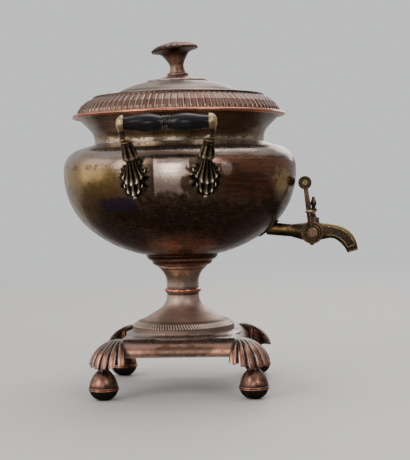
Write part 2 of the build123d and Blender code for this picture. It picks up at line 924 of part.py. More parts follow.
def make_heater_cover():
    """The loose cover of the tube, with a spigot below and a small knob on top."""
    spigot_radius = socket_radius - socket_sheet - loose_gap
    outer = socket_radius + cover_overhang
    low = cover_z + lid_gap
    top = low + cover_height
    crown = top + cover_rise
    stem = (cover_knob_radius * 0.6, crown)
    plate = turned(
        Line((0, low), (outer, low)),
        Line((outer, low), (outer, top)),
        ThreePointArc((outer, top), (outer * 0.6, top + cover_rise * 0.7), stem),
        Line(stem, (0, crown)),
        Line((0, crown), (0, low)),
    )
    spigot = rod(spigot_radius, low - cover_spigot_depth, low)
    spigot = spigot - rod(spigot_radius - socket_sheet, low - cover_spigot_depth, low)
    knob = rod(stem[0], crown - 1, crown + cover_knob_height / 2)
    ball = Pos(0, 0, crown + cover_knob_height - cover_knob_radius) * Sphere(cover_knob_radius)
    return plate + spigot + knob + ball


# Tap

plug_point = Vector(plug_x, 0, plug_z)
into_bowl = Vector(-math.cos(math.radians(tap_drop)), 0, math.sin(math.radians(tap_drop)))
tap_line = Plane(origin=plug_point, x_dir=(0, 1, 0), z_dir=into_bowl)
wall_reach = depth_along(plug_point, into_bowl, -bowl_sheet)
tail_end = wall_reach + tail_length
saddle_end = wall_reach + saddle_length


def on_tap_line(shape):
    """Put a shape that stands on Z onto the tap's tube, from the plug towards the bowl."""
    return tap_line.location * shape


def spout_frame(distance):
    """Place and direction of the spout's middle line at a distance from the plug."""
    bend_length = spout_bend_radius * math.radians(spout_bend)
    along = min(max(distance - spout_straight, 0), bend_length)
    turn = along / spout_bend_radius
    x = plug_x + min(distance, spout_straight) + spout_bend_radius * math.sin(turn)
    z = plug_z + spout_rise - spout_bend_radius * (1 - math.cos(turn))
    rest = max(distance - spout_straight - bend_length, 0)
    direction = Vector(math.cos(turn), 0, -math.sin(turn))
    return Vector(x, 0, z) + direction * rest, direction


spout_length = spout_straight + spout_bend_radius * math.radians(spout_bend) + spout_end


def spout_section(distance, height, width):
    """A rounded rectangle square to the spout's line."""
    place, direction = spout_frame(distance)
    square_on = Plane(origin=place, x_dir=(0, 1, 0), z_dir=direction)
    return square_on * RectangleRounded(width, height, spout_corner)


def make_spout():
    """The spout's outer form, thick at its root and narrow at its mouth."""
    curve = spout_length - spout_straight
    stations = (
        (spout_straight * 0.3, spout_root_height, spout_root_width),
        (spout_straight, spout_height * 1.03, spout_width),
        (spout_straight + curve * 0.35, spout_height, spout_width),
        (spout_straight + curve * 0.65, spout_height, spout_width),
        (spout_length - spout_end, mouth_height * 1.1, mouth_width * 1.03),
        (spout_length, mouth_height, mouth_width),
    )
    return loft([spout_section(*station) for station in stations])


def make_spout_bore():
    """The spout's round bore, from the plug to the mouth."""
    start, _ = spout_frame(0)
    straight_end, _ = spout_frame(spout_straight)
    bend_end, _ = spout_frame(spout_length - spout_end)
    mouth, mouth_direction = spout_frame(spout_length)
    middle, _ = spout_frame((spout_straight + spout_length - spout_end) / 2)
    path = Wire([
        Line(start, straight_end),
        ThreePointArc(straight_end, middle, bend_end),
        Line(bend_end, mouth + mouth_direction),
    ])
    circle = Plane(origin=start, x_dir=(0, 1, 0), z_dir=(1, 0, 0)) * Circle(spout_bore_radius)
    return sweep(circle, path)


def plug_cone(grow):
    """The plug's tapered body along Y, or its seat when grown."""
    half = barrel_length / 2 + seat_gap
    near = plug_radius + grow
    far = plug_radius - plug_taper + grow
    outline = make_face([
        Line((0, -half), (near, -half)),
        Line((near, -half), (far, half)),
        Line((far, half), (0, half)),
        Line((0, half), (0, -half)),
    ])
    return revolve(outline, Axis.Y)


def make_tap_body():
    """Tube, barrel, cap and spout in one casting, with its passages."""
    tube = on_tap_line(rod(tube_radius, 0, wall_reach))
    flare = on_tap_line(Cone(barrel_radius - overrun, tube_radius, tube_flare_length, align=on_base))
    outside = (tube + flare) - bowl_seat
    barrel = Pos(plug_x, 0, plug_z) * across_y(barrel_radius, -barrel_length / 2, barrel_length / 2)
    cap = Pos(plug_x + finial_x_offset, 0, plug_z) * rod(tap_cap_radius, 0, tap_cap_rise)
    nub = Pos(plug_x, 0, plug_z) * rod(nub_radius, -nub_drop, 0)
    tail = on_tap_line(rod(tail_radius, wall_reach / 2, tail_end))
    body = outside + barrel + cap + nub + make_spout() + tail
    body = body - on_tap_line(rod(tube_bore_radius, 0, tail_end + overrun))
    body = body - make_spout_bore()
    return body - Pos(plug_x, 0, plug_z) * plug_cone(running_gap)


def make_tap_flange():
    """The thin collar on the bowl round the tap's tube."""
    disc = on_tap_line(rod(tap_flange_radius, 0, wall_reach + bowl_radius / 8))
    collar = disc & (bowl_form(tap_flange_height) - bowl_seat)
    return collar - on_tap_line(rod(tube_radius + seat_gap, 0, tail_end))


def make_tap_saddle():
    """The slanted washer inside the bowl, which gives the lock nut a square face."""
    block = on_tap_line(rod(saddle_radius, wall_reach / 2, saddle_end))
    block = block & bowl_form(-bowl_sheet - seat_gap)
    return block - on_tap_line(rod(tail_radius + seat_gap, 0, tail_end))


def make_tap_lock_nut():
    """The nut that pulls the tap against the bowl."""
    nut = hex_nut(lock_nut_across, lock_nut_height, tail_radius + seat_gap)
    return on_tap_line(Pos(0, 0, saddle_end) * nut)


def on_plug(shape):
    """Put a shape drawn about the origin onto the plug's centre."""
    return Pos(plug_x, 0, plug_z) * shape


barrel_face = barrel_length / 2 + lid_gap
head_face = barrel_face + plug_head_height
eye_face = head_face + lever_thickness


def make_tap_plug():
    """The tapered plug with its port, upright while the tap is shut, and its head, tang and tail."""
    port = Rot(0, lever_lean, 0) * rod(port_radius, -2 * plug_radius, 2 * plug_radius)
    body = plug_cone(0) - port
    body = body + across_y(plug_head_radius, -head_face, -barrel_length / 2)
    tang = Pos(0, -head_face - tang_length / 2, 0) * Box(tang_side, tang_length, tang_side)
    half = barrel_length / 2
    body = body + tang + across_y(plug_tail_radius, half - overrun, half + plug_tail_length)
    screw_end = -eye_face + screw_length + overrun
    body = body - across_y(screw_radius + seat_gap, -eye_face - overrun, screw_end)
    return on_plug(Rot(0, -lever_lean, 0) * body)


def make_plug_washer():
    """The washer between the barrel and the plug's nut."""
    ring = across_y(washer_radius, barrel_face, barrel_face + washer_height)
    return on_plug(ring - across_y(plug_tail_radius + seat_gap, 0, barrel_length))


def make_plug_nut():
    """The nut on the plug's tail."""
    nut = hex_nut(plug_nut_across, plug_nut_height, plug_tail_radius + seat_gap)
    return on_plug(Pos(0, barrel_face + washer_height, 0) * Rot(-90, 0, 0) * nut)


def on_lever(shape):
    """Lean a shape drawn with the lever upright on the origin, and put it on the plug."""
    return on_plug(Rot(0, -lever_lean, 0) * shape)


boss_face = eye_face + (lever_boss_height - lever_thickness) / 2
grip_start = boss_face - lever_boss_height
grip_end = grip_start - lever_grip_length


def make_tap_lever():
    """The flat arm with its eye, collar and the boss that carries the grip."""
    eye = across_y(eye_radius, -eye_face, -head_face)
    arm_face = Plane.XZ.offset(head_face) * Polygon(
        (-arm_foot_width / 2, 0),
        (arm_foot_width / 2, 0),
        (arm_top_width / 2, lever_length),
        (-arm_top_width / 2, lever_length),
        align=None,
    )
    arm = extrude(arm_face, lever_thickness)
    arm = fillet(arm.edges().filter_by(Axis.Y, reverse=True), lever_thickness * 0.3)
    boss = Pos(0, 0, lever_length) * across_y(lever_boss_radius, -boss_face, -grip_start)
    collar_low = collar_height - collar_thickness / 2
    collar = bead(collar_radius, collar_thickness / 2, collar_low, collar_low + collar_thickness)
    body = eye + arm + boss + Pos(0, -(eye_face + head_face) / 2, 0) * collar
    hole_side = tang_side + 2 * seat_gap
    body = body - Pos(0, -head_face, 0) * Box(hole_side, 4 * lever_thickness, hole_side)
    rod_hole = across_y(lever_rod_radius + seat_gap, -boss_face - overrun, -grip_start + overrun)
    return on_lever(body - Pos(0, 0, lever_length) * rod_hole)


def make_lever_screw():
    """The slotted screw that holds the lever on the plug."""
    top = -eye_face - screw_head_height
    head = across_y(screw_head_radius, top, -eye_face)
    head = fillet(head.edges().sort_by(Axis.Y)[0], screw_head_height * 0.4)
    slot = Pos(0, top, 0) * Box(4 * screw_head_radius, 2 * screw_slot_depth, screw_slot_width)
    shank = across_y(screw_radius, -eye_face, -eye_face + screw_length)
    return on_lever(head + shank - Rot(0, screw_slot_turn, 0) * slot)


def make_lever_grip():
    """The ebony cross grip, fattest at its middle."""
    low, high = -grip_start, -grip_end
    bore = lever_rod_radius + seat_gap
    end = lever_grip_end_radius
    outline = make_face([
        Line((bore, low), (end, low)),
        ThreePointArc((end, low), (lever_grip_radius, (low + high) / 2), (end, high)),
        Line((end, high), (bore, high)),
        Line((bore, high), (bore, low)),
    ])
    return on_lever(Pos(0, 0, lever_length) * revolve(outline, Axis.Y))


def make_lever_rod():
    """The rod through boss and grip, riveted over at one end and capped at the other."""
    rivet_top = -boss_face - lever_rivet_height
    shank = across_y(lever_rod_radius, rivet_top, -grip_end + lever_cap_height)
    rivet = across_y(lever_rivet_radius, rivet_top, -boss_face)
    cap = across_y(lever_cap_radius, -grip_end, -grip_end + lever_cap_height)
    rivet = fillet(rivet.edges().sort_by(Axis.Y)[0], lever_rivet_height * 0.6)
    cap = fillet(cap.edges().sort_by(Axis.Y)[-1], lever_cap_height * 0.6)
    return on_lever(Pos(0, 0, lever_length) * (shank + rivet + cap))


def make_tap_finial():
    """The finial on the tap's cap: a bead on a short neck, and a pointed bud."""
    h = finial_height
    foot = (finial_foot_radius, 0)
    neck = (finial_waist_radius, h * 0.2)
    bead_low = (finial_waist_radius, h * 0.26)
    bead_high = (finial_waist_radius, h * 0.45)
    waist = (finial_waist_radius, h * 0.52)
    bud_low = (finial_bud_radius * 0.8, h * 0.57)
    body = turned(
        Line((0, 0), foot),
        ThreePointArc(foot, (finial_waist_radius * 1.2, h * 0.08), neck),
        Line(neck, bead_low),
        ThreePointArc(bead_low, (finial_bead_radius, h * 0.355), bead_high),
        Line(bead_high, waist),
        Line(waist, bud_low),
        Spline(
            bud_low,
            (finial_bud_radius, h * 0.72),
            (finial_bud_radius * 0.55, h * 0.9),
            (0, h),
            tangents=[(0.5, 1), (-1, 0)],
        ),
        Line((0, h), (0, 0)),
    )
    return Pos(plug_x + finial_x_offset, 0, plug_z + tap_cap_rise) * body


# Side handles, drawn for the -Y side with arms at +X, and mirrored for the others


def make_grip():
    """The turned ebony grip with two bulges and a group of rings between them."""
    half = grip_length / 2
    rings_half = grip_ring_pitch * grip_ring_count / 2
    collar = grip_ring_radius - grip_groove_depth
    left_bulge = [(-half, grip_end_radius), (-grip_bulge_at, grip_bulge_radius), (-rings_half, collar)]
    right_bulge = [(rings_half, collar), (grip_bulge_at, grip_bulge_radius), (half, grip_end_radius)]
    edges = [
        Line((-half, grip_hole_radius), (-half, grip_end_radius)),
        Spline(*left_bulge, tangents=[(1, 0.05), (1, -0.35)]),
    ]
    for index in range(grip_ring_count):
        left = -rings_half + index * grip_ring_pitch
        right = left + grip_ring_pitch
        edges.append(ThreePointArc((left, collar), ((left + right) / 2, grip_ring_radius), (right, collar)))
    edges += [
        Spline(*right_bulge, tangents=[(1, 0.35), (1, -0.05)]),
        Line((half, grip_end_radius), (half, grip_hole_radius)),
        Line((half, grip_hole_radius), (-half, grip_hole_radius)),
    ]
    return Pos(0, -grip_reach, grip_z) * revolve(make_face(edges), Axis.X)


rod_seat = knuckle_length * 0.55
grip_rod_half = grip_length / 2 + rod_seat - 10 * seat_gap


def make_grip_rod():
    """The brass rod inside the grip, from knuckle to knuckle."""
    return Pos(0, -grip_reach, grip_z) * Rot(0, 90, 0) * Cylinder(grip_rod_radius, 2 * grip_rod_half)


arm_top = Vector(grip_length / 2 + arm_inset, -grip_reach, grip_z)
arm_foot_radius = bowl_radius + arm_foot_outset
leaf_turn = math.asin(arm_foot_side / arm_foot_radius)
leaf_angle = math.degrees(leaf_turn)
arm_foot = Vector(
    arm_foot_side,
    -arm_foot_radius * math.cos(leaf_turn),
    widest_z + arm_foot_above_widest,
)
arm_line = Plane(origin=arm_top, z_dir=arm_foot - arm_top)
arm_length = (arm_foot - arm_top).length


def make_arm():
    """One arm: a domed knuckle on the grip's end, and a shaft with rings and a leafy bell."""
    r = knuckle_radius
    outline = make_face([
        Line((0, 0), (0, r)),
        Line((0, r), (knuckle_length * 0.3, r)),
        ThreePointArc((knuckle_length * 0.3, r), (knuckle_length * 0.82, r * 0.66), (knuckle_length, 0)),
        Line((knuckle_length, 0), (0, 0)),
    ])
    knuckle = Pos(grip_length / 2, -grip_reach, grip_z) * revolve(outline, Axis.X)
    bell_start = arm_length - bell_length
    rings_end = bell_start - bell_gap
    edges = [Line((0, 0), (arm_radius, 0))]
    first = rings_end - arm_ring_pitch * arm_ring_count
    edges.append(Line((arm_radius, 0), (arm_radius, first)))
    for index in range(arm_ring_count):
        low = first + index * arm_ring_pitch
        high = low + arm_ring_pitch
        crest = (arm_ring_radius, (low + high) / 2)
        edges.append(ThreePointArc((arm_radius, low), crest, (arm_radius, high)))
    mouth = bell_radius - bell_lip
    mouth_low = (mouth, arm_length - 4 * bell_lip)
    bell_middle = (arm_radius * 1.12, bell_start + bell_length / 2)
    edges += [
        Line((arm_radius, rings_end), (arm_radius, bell_start)),
        ThreePointArc((arm_radius, bell_start), bell_middle, mouth_low),
        ThreePointArc(mouth_low, (bell_radius, arm_length - 2 * bell_lip), (mouth, arm_length)),
        Line((mouth, arm_length), (0, arm_length)),
        Line((0, arm_length), (0, 0)),
    ]
    shaft = arm_line.location * turned(*edges)
    grip_axis = Pos(0, -grip_reach, grip_z) * Rot(0, 90, 0)
    rod_hole = grip_axis * rod(grip_rod_radius + seat_gap, 0, grip_length / 2 + rod_seat)
    beyond_grip = grip_axis * Cylinder(2 * knuckle_radius, grip_length)
    return knuckle + shaft - beyond_grip - rod_hole


def leaf_outline():
    """The leaf's outline on the bowl, seen square on, as (sideways, height)."""
    top = widest_z + leaf_top_above_widest
    bottom = widest_z - leaf_bottom_below_widest
    height = top - bottom
    half = leaf_width / 2
    # Shares of the half width and of the height, up the right edge
    shares = ((0, 0), (0.66, 0.2), (1, 0.52), (0.62, 0.88), (0.3, 1))
    right = [(half * wide, bottom + height * high) for wide, high in shares]
    left = [(-wide, high) for wide, high in reversed(right)]
    return make_face([Spline(*right), Line(right[-1], left[0]), Spline(*left)])


stud_line = Pos(0, 0, widest_z - leaf_stud_below_widest) * Rot(0, 0, leaf_angle) * Rot(90, 0, 0)


def make_leaf():
    """The cast leaf on the bowl, with a hood that takes the arm and a stud through the wall."""
    blade = extrude(Plane.XZ.offset(bowl_radius * 0.6) * leaf_outline(), bowl_radius)
    blade = (Rot(0, 0, leaf_angle) * blade) & (bowl_form(leaf_thickness) - bowl_seat)
    arm_end = arm_line.location * Pos(0, 0, arm_length + seat_gap)
    hood = arm_end * Cone(bell_radius - leaf_hood_step, leaf_hood_tip, leaf_hood_length, align=on_base)
    stud_start = bowl_radius - bowl_sheet - leaf_stud_length
    stud = stud_line * rod(leaf_stud_radius, stud_start, bowl_radius + leaf_thickness / 2)
    stop = arm_end * rod(4 * bell_radius, -arm_length, 0)
    return (blade - stop) + (hood - bowl_seat) + stud


def make_leaf_hole():
    """The hole in the bowl for a leaf's stud."""
    return stud_line * rod(leaf_stud_radius + seat_gap, bowl_radius * 0.8, bowl_radius * 1.1)


def make_handle_nut():
    """The square nut inside the bowl on a leaf's stud."""
    outer = bowl_radius - bowl_sheet - nut_gap
    outline = Rectangle(handle_nut_side, handle_nut_side) - Circle(leaf_stud_radius + seat_gap)
    return stud_line * (Pos(0, 0, outer - handle_nut_height) * extrude(outline, handle_nut_height))


def across_x(shape):
    """The same piece on the other side of the YZ plane."""
    return mirror(shape, about=Plane.YZ)


def across_handles(shape):
    """The same piece on the other side of the XZ plane."""
    return mirror(shape, about=Plane.XZ)


# The pieces, each under its node's name

nodes = {}

foot = make_foot()
corner_shell = make_corner_shell(plinth_block(seat_gap))
corners = {"front_right": -90, "back_right": 0, "back_left": 90, "front_left": 180}
for name, turn in corners.items():
    place = Rot(0, 0, turn)
    nodes["foot_" + name] = place * Pos(foot_centre, foot_centre, 0) * foot
    nodes["corner_shell_" + name] = place * corner_shell

nodes["plinth"] = make_plinth()
nodes["pedestal_foot"] = make_pedestal_foot()
nodes["pedestal_bead"] = make_bead()
nodes["pedestal_neck"] = make_pedestal_neck()
nodes["pedestal_cup"] = make_cup()
nodes["bowl_boss"] = make_bowl_boss()
nodes["tie_rod"] = rod(tie_radius, tie_bottom_z, tie_top_z)
tie_hole = rod(tie_radius + seat_gap, tie_nut_top_z, washer_top_z)
nodes["tie_washer"] = rod(tie_washer_radius, tie_nut_top_z, washer_top_z) - tie_hole
tie_nut = hex_nut(tie_nut_across, tie_nut_height, tie_radius + seat_gap)
nodes["tie_nut"] = Pos(0, 0, tie_nut_top_z - tie_nut_height) * tie_nut

leaf_hole = make_leaf_hole()
tap_hole = on_tap_line(rod(tail_radius + seat_gap, wall_reach / 2, tail_end))
near_holes = [leaf_hole, across_x(leaf_hole)]
bowl_holes = [*near_holes, *[across_handles(hole) for hole in near_holes], tap_hole]
nodes["lower_bowl"] = make_lower_bowl(bowl_holes)
nodes["shoulder"] = make_shoulder()
nodes["neck"] = make_neck()
nodes["rim_wire"] = make_rim_wire()
nodes["gadrooned_band"] = make_gadrooned_band()

nodes["heater_socket"] = make_heater_socket()
nodes["heater_iron"] = make_heater_iron()
nodes["heater_cover"] = make_heater_cover()

nodes["lid"] = make_lid()
nodes["lid_bezel"] = make_bezel()
nodes["knob_plate"] = make_knob_plate()
nodes["knob"] = make_knob()
nodes["knob_nut"] = Pos(0, 0, lid_top_z - lid_sheet - knob_nut_height) * hex_nut(
    knob_nut_across, knob_nut_height, knob_stud_radius + seat_gap
)

nodes["tap_body"] = make_tap_body()
nodes["tap_flange"] = make_tap_flange()
nodes["tap_saddle"] = make_tap_saddle()
nodes["tap_lock_nut"] = make_tap_lock_nut()
nodes["tap_finial"] = make_tap_finial()
nodes["tap_plug"] = make_tap_plug()
nodes["plug_washer"] = make_plug_washer()
nodes["plug_nut"] = make_plug_nut()
nodes["tap_lever"] = make_tap_lever()
nodes["lever_screw"] = make_lever_screw()
nodes["lever_grip"] = make_lever_grip()
nodes["lever_rod"] = make_lever_rod()

grip = make_grip()
grip_rod = make_grip_rod()
arm = make_arm()
leaf = make_leaf()
handle_nut = make_handle_nut()
for side in ("near", "far"):
    placed = (lambda shape: shape) if side == "near" else across_handles
    nodes[side + "_grip"] = placed(grip)
    nodes[side + "_grip_rod"] = placed(grip_rod)
    nodes[side + "_arm_right"] = placed(arm)
    nodes[side + "_arm_left"] = placed(across_x(arm))
    nodes[side + "_leaf_right"] = placed(leaf)
    nodes[side + "_leaf_left"] = placed(across_x(leaf))
    nuts = [placed(handle_nut), placed(across_x(handle_nut))]
    nodes[side + "_handle_nuts"] = Compound([nut.solids()[0] for nut in nuts])

for name, shape in nodes.items():
    solids = shape.solids()
    piece = solids[0] if len(solids) == 1 else Compound(solids)
    export_step(piece, "parts/" + name + ".step")
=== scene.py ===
import math

import bpy
from mathutils import Matrix, Vector
from mathutils.bvhtree import BVHTree


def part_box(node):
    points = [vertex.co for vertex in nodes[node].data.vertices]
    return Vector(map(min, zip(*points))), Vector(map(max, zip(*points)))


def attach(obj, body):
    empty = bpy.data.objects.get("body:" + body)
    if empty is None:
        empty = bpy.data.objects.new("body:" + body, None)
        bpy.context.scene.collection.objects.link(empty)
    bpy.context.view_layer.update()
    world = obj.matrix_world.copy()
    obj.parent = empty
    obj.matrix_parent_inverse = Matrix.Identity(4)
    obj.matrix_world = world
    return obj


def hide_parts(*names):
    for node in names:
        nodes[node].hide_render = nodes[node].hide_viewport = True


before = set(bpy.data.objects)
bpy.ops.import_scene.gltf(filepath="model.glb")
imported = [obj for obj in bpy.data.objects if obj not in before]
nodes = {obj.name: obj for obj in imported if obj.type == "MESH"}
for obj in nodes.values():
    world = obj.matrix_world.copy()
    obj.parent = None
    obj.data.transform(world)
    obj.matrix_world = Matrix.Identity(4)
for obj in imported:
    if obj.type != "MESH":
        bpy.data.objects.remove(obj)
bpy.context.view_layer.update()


def heights(name):
    """A node's lowest and highest point above the floor."""
    low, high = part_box(name)
    return low.z, high.z


# Metres and radians unless a name says otherwise. Z is the bowl's axis, +X runs along the tap and
# the near handle is at -Y. The camera stands in front, a little to the tap's side.

# Camera, as the photograph was taken
camera_azimuth = math.radians(4.98)
camera_distance = 1.279
camera_height = 0.2238
camera_pan = math.radians(-1.16)
camera_pitch = math.radians(2.3)
camera_roll = math.radians(-1.3)
camera_focal_pixels = 1160.5
photo_long_side = 460
sensor_size = 36.0

# Rim, lid and knob
gadroon_count = 96
rim_z, band_top_z = heights("gadrooned_band")
lid_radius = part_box("lid")[1].x
dome_edge = (0.0630, 0.0645, 0.0675, 0.0690)
knob_top_z = heights("knob")[1]

# Pedestal, with the milled border on the slope of its ring
pedestal_z = heights("pedestal_foot")[0]
waist_z = heights("pedestal_bead")[0]
cup_z = heights("pedestal_cup")[0]
tick_count = 112
tick_reach = 0.0528
tick_height = 0.0075
tick_slope = math.radians(36.8)
tick_slant = math.radians(17)
tick_size = (0.0078, 0.0015, 0.0013)
tick_bevel = 0.0003

# Plinth, and corner shells that are each a fan of flutes round a centre inside the plinth's corner
plinth_top_z = 0.061
shell_centre = 0.061
flute_step = math.radians(17)

# Ball feet: the two beads of their band and the line between them
foot_bead_heights = (0.0110, 0.0128)
foot_line_height = 0.0120

# Tap
plug_x = 0.1430
plug_z = 0.1680
plug_face_y = -0.0156
spout_straight = 0.018
spout_rise = 0.001
spout_bend_radius = 0.026
spout_bend = math.radians(75.7)
spout_length = spout_straight + spout_bend_radius * spout_bend + 0.003
border_offset = 0.0043
border_start = 0.016
border_end_gap = 0.006
mouth_line_gap = 0.0012
border_radius = 0.0006
lever_face_y = -0.0190
lever_lean = math.radians(7.2)
lever_line_y = lever_face_y + 0.0001
lever_line_start = 0.0056
lever_line_length = 0.0160
lever_line_radius = 0.0007

# Handles: the arms' line from the grip's end to the foot on the bowl, and the cast leaf below it
leaf_turn = math.radians(16.4)
arm_top = Vector((0.0452, -0.142, 0.284))
arm_foot = Vector((0.037495, -0.127397, 0.249))
arm_rings = (0.2600, 0.2612, 0.2720, 0.2735)
knuckle_z = 0.2765
leaf_thickness = 0.0009
leaf_top_z = 0.2510
lower_tier_z = 0.2400
plate_middle_z = 0.2315
plate_lobes = 11
plate_inner_share = 0.02
plate_reach = (0.0225, 0.0214, 0.0190, 0.0178, 0.0176, 0.0182, 0.0172)
leaf_bead_radius = 0.0023
petal_count = 8
petal_length = 0.0150
petal_rise = 0.0026

# Stains and worn places on the near side of the bowl and the plinth, and some painted light: the glint is a
# painted highlight, the arc painted shade, the plinth's patch a painted dark reflection and the gold partly a
# painted reflection.
# Each has its middle across and up, its half width and half height, how ragged its edge is, and how soft
stains = {
    "rosy": (-0.085, 0.248, 0.040, 0.016, 0.6, 0.4),
    "red": (0.088, 0.232, 0.044, 0.028, 1.0, 0.3),
    "right_gold": (0.112, 0.224, 0.009, 0.015, 2.2, 0.25),
    "gold": (-0.088, 0.216, 0.038, 0.031, 0.7, 0.25),
    "low_gold": (-0.101, 0.201, 0.024, 0.028, 1.1, 0.35),
    "freckles": (-0.085, 0.243, 0.030, 0.003, 2.2, 0.25),
    "ember": (0.006, 0.156, 0.030, 0.011, 1.9, 0.25),
    "violet": (-0.055, 0.2045, 0.020, 0.007, 1.5, 0.25),
    "notch": (0.0165, 0.224, 0.0055, 0.009, 1.6, 0.2),
    "painted_glint": (0.057, 0.238, 0.005, 0.006, 1.3, 0.25),
    "shade_arc": (0.002, 0.2535, 0.030, 0.0045, 0.9, 0.4),
    "plinth": (0.0, plinth_top_z - 0.013, 0.036, 0.0055, 1.8, 0.25),
}


# Helpers for modelling


def deselect_all():
    """Leave edit mode and select nothing."""
    if bpy.context.object and bpy.context.object.mode != "OBJECT":
        bpy.ops.object.mode_set(mode="OBJECT")
    bpy.ops.object.select_all(action="DESELECT")


def take_up(piece):
    """Select one piece alone."""
    deselect_all()
    piece.select_set(True)
    bpy.context.view_layer.objects.active = piece


def named(name):
    """Name the piece that was just added."""
    piece = bpy.context.object
    piece.name = name
    piece.data.name = name
    return piece


def settle(piece):
    """Put the piece's place, turn and size into its mesh."""
    take_up(piece)
    bpy.ops.object.transform_apply(location=True, rotation=True, scale=True)


def copied(piece, matrix):
    """A copy of the piece with its own mesh, moved by a matrix."""
    twin = piece.copy()
    twin.data = piece.data.copy()
    bpy.context.collection.objects.link(twin)
    twin.data.transform(matrix)
    return twin


def joined(pieces, name):
    """Join pieces into the first one."""
    deselect_all()
    for piece in pieces:
        piece.select_set(True)
    bpy.context.view_layer.objects.active = pieces[0]
    bpy.ops.object.join()
    return named(name)


def facing_out(piece):
    """Merge doubled points and point all faces outwards."""
    take_up(piece)
    bpy.ops.object.mode_set(mode="EDIT")
    bpy.ops.mesh.select_all(action="SELECT")
    bpy.ops.mesh.remove_doubles(threshold=1e-6)
    bpy.ops.mesh.normals_make_consistent(inside=False)
    bpy.ops.object.mode_set(mode="OBJECT")


def smoothed(piece, degrees=60):
    """Shade smooth except over edges sharper than an angle."""
    take_up(piece)
    bpy.ops.object.shade_smooth_by_angle(angle=math.radians(degrees))


def thickened(piece, thickness):
    """Give a sheet its thickness, inwards."""
    take_up(piece)
    modifier = piece.modifiers.new("Thickness", "SOLIDIFY")
    modifier.thickness = thickness
    modifier.offset = -1
    bpy.ops.object.modifier_apply(modifier=modifier.name)


def painted(piece, material):
    """Give the piece its material."""
    piece.data.materials.clear()
    piece.data.materials.append(material)


def eased(values, share):
    """A smooth curve through evenly spaced values, read at a share of its length."""
    last = len(values) - 1
    place = share * last
    index = min(int(place), last - 1)
    part = place - index
    before, first, second, after = [values[min(max(index + step, 0), last)] for step in (-1, 0, 1, 2)]
    bend = 2 * before - 5 * first + 4 * second - after + part * (3 * (first - second) + after - before)
    return first + 0.5 * part * (second - before + part * bend)


def sheet(name, rows, closed):
    """A mesh from rows of (point, relief), where closed joins each row's ends."""
    across = len(rows[0])
    faces = []
    for row in range(len(rows) - 1):
        low, high = row * across, (row + 1) * across
        for column in range(across if closed else across - 1):
            following = (column + 1) % across
            faces.append((low + column, low + following, high + following, high + column))
    mesh = bpy.data.meshes.new(name)
    mesh.from_pydata([point for row in rows for point, _ in row], [], faces)
    relief = mesh.attributes.new("relief", "FLOAT", "POINT")
    relief.data.foreach_set("value", [height for row in rows for _, height in row])
    piece = bpy.data.objects.new(name, mesh)
    bpy.context.collection.objects.link(piece)
    return piece


def rail(name, points, radius, sides=8):
    """A thin round rail along points, closed at both ends."""
    turns = [math.tau * side / sides for side in range(sides)]
    last = len(points) - 1
    headings = [(points[min(i + 1, last)] - points[max(i - 1, 0)]).normalized() for i in range(last + 1)]
    first = headings[0].orthogonal().normalized()
    rings = []
    for point, heading in zip(points, headings):
        first = (first - heading * first.dot(heading)).normalized()
        second = heading.cross(first)
        rings.append([(point + (first * math.cos(t) + second * math.sin(t)) * radius, 1.0) for t in turns])
    start = points[0] - headings[0] * radius * 0.7
    end = points[-1] + headings[-1] * radius * 0.7
    return sheet(name, [[(start, 1.0)] * sides, *rings, [(end, 1.0)] * sides], closed=True)


# Helpers for materials


class Nodes:
    """A node tree, with short ways to add to it."""

    def __init__(self, tree):
        self.tree = tree

    def give(self, socket, value):
        """Give a socket a value or a link."""
        if isinstance(value, bpy.types.NodeSocket):
            self.tree.links.new(value, socket)
        else:
            socket.default_value = value

    def add(self, kind, inputs=None, **settings):
        """Add a node with its settings, and give its inputs values or links."""
        made = self.tree.nodes.new(kind)
        for name, value in settings.items():
            setattr(made, name, value)
        for name, value in (inputs or {}).items():
            self.give(made.inputs[name], value)
        return made

    def maths(self, operation, *values):
        """A maths node's result."""
        return self.add("ShaderNodeMath", dict(enumerate(values)), operation=operation).outputs[0]

    def times(self, *values):
        """All the values multiplied."""
        result = values[0]
        for value in values[1:]:
            result = self.maths("MULTIPLY", result, value)
        return result

    def scaled(self, value, factor, start):
        """A value times a factor, added to a start."""
        return self.maths("MULTIPLY_ADD", value, factor, start)

    def away(self, value, middle):
        """How far a value is from a middle."""
        return self.maths("ABSOLUTE", self.maths("SUBTRACT", value, middle))

    def length(self, first, second):
        """The length of a line with these two sides."""
        square = self.maths("ADD", self.times(first, first), self.times(second, second))
        return self.maths("SQRT", square)

    def ramp(self, value, low, high):
        """0 up to low, 1 from high on, and smooth between them; low may be the larger."""
        inputs = {"Value": value, "From Min": low, "From Max": high}
        return self.add("ShaderNodeMapRange", inputs, interpolation_type="SMOOTHSTEP").outputs[0]

    def band(self, value, low, full, fading, high):
        """1 between full and fading, and smooth to 0 at low and high."""
        return self.times(self.ramp(value, low, full), self.ramp(value, high, fading))

    def mixed(self, amount, first, second):
        """First colour at 0 and second at 1."""
        return self.add("ShaderNodeMix", {0: amount, 6: first, 7: second}, data_type="RGBA").outputs[2]

    def noise(self, inputs, **settings):
        """Noise, between 0 and 1."""
        return self.add("ShaderNodeTexNoise", inputs, **settings).outputs[0]


def new_group(name, numbers, results):
    """A shader node group that takes a position and numbers: its nodes, inputs and results."""
    tree = bpy.data.node_groups.new(name, "ShaderNodeTree")
    tree.interface.new_socket(name="Position", in_out="INPUT", socket_type="NodeSocketVector")
    for direction, sockets in (("INPUT", numbers), ("OUTPUT", results)):
        for socket in sockets:
            tree.interface.new_socket(name=socket, in_out=direction, socket_type="NodeSocketFloat")
    group = Nodes(tree)
    return group, group.add("NodeGroupInput").outputs, group.add("NodeGroupOutput").inputs


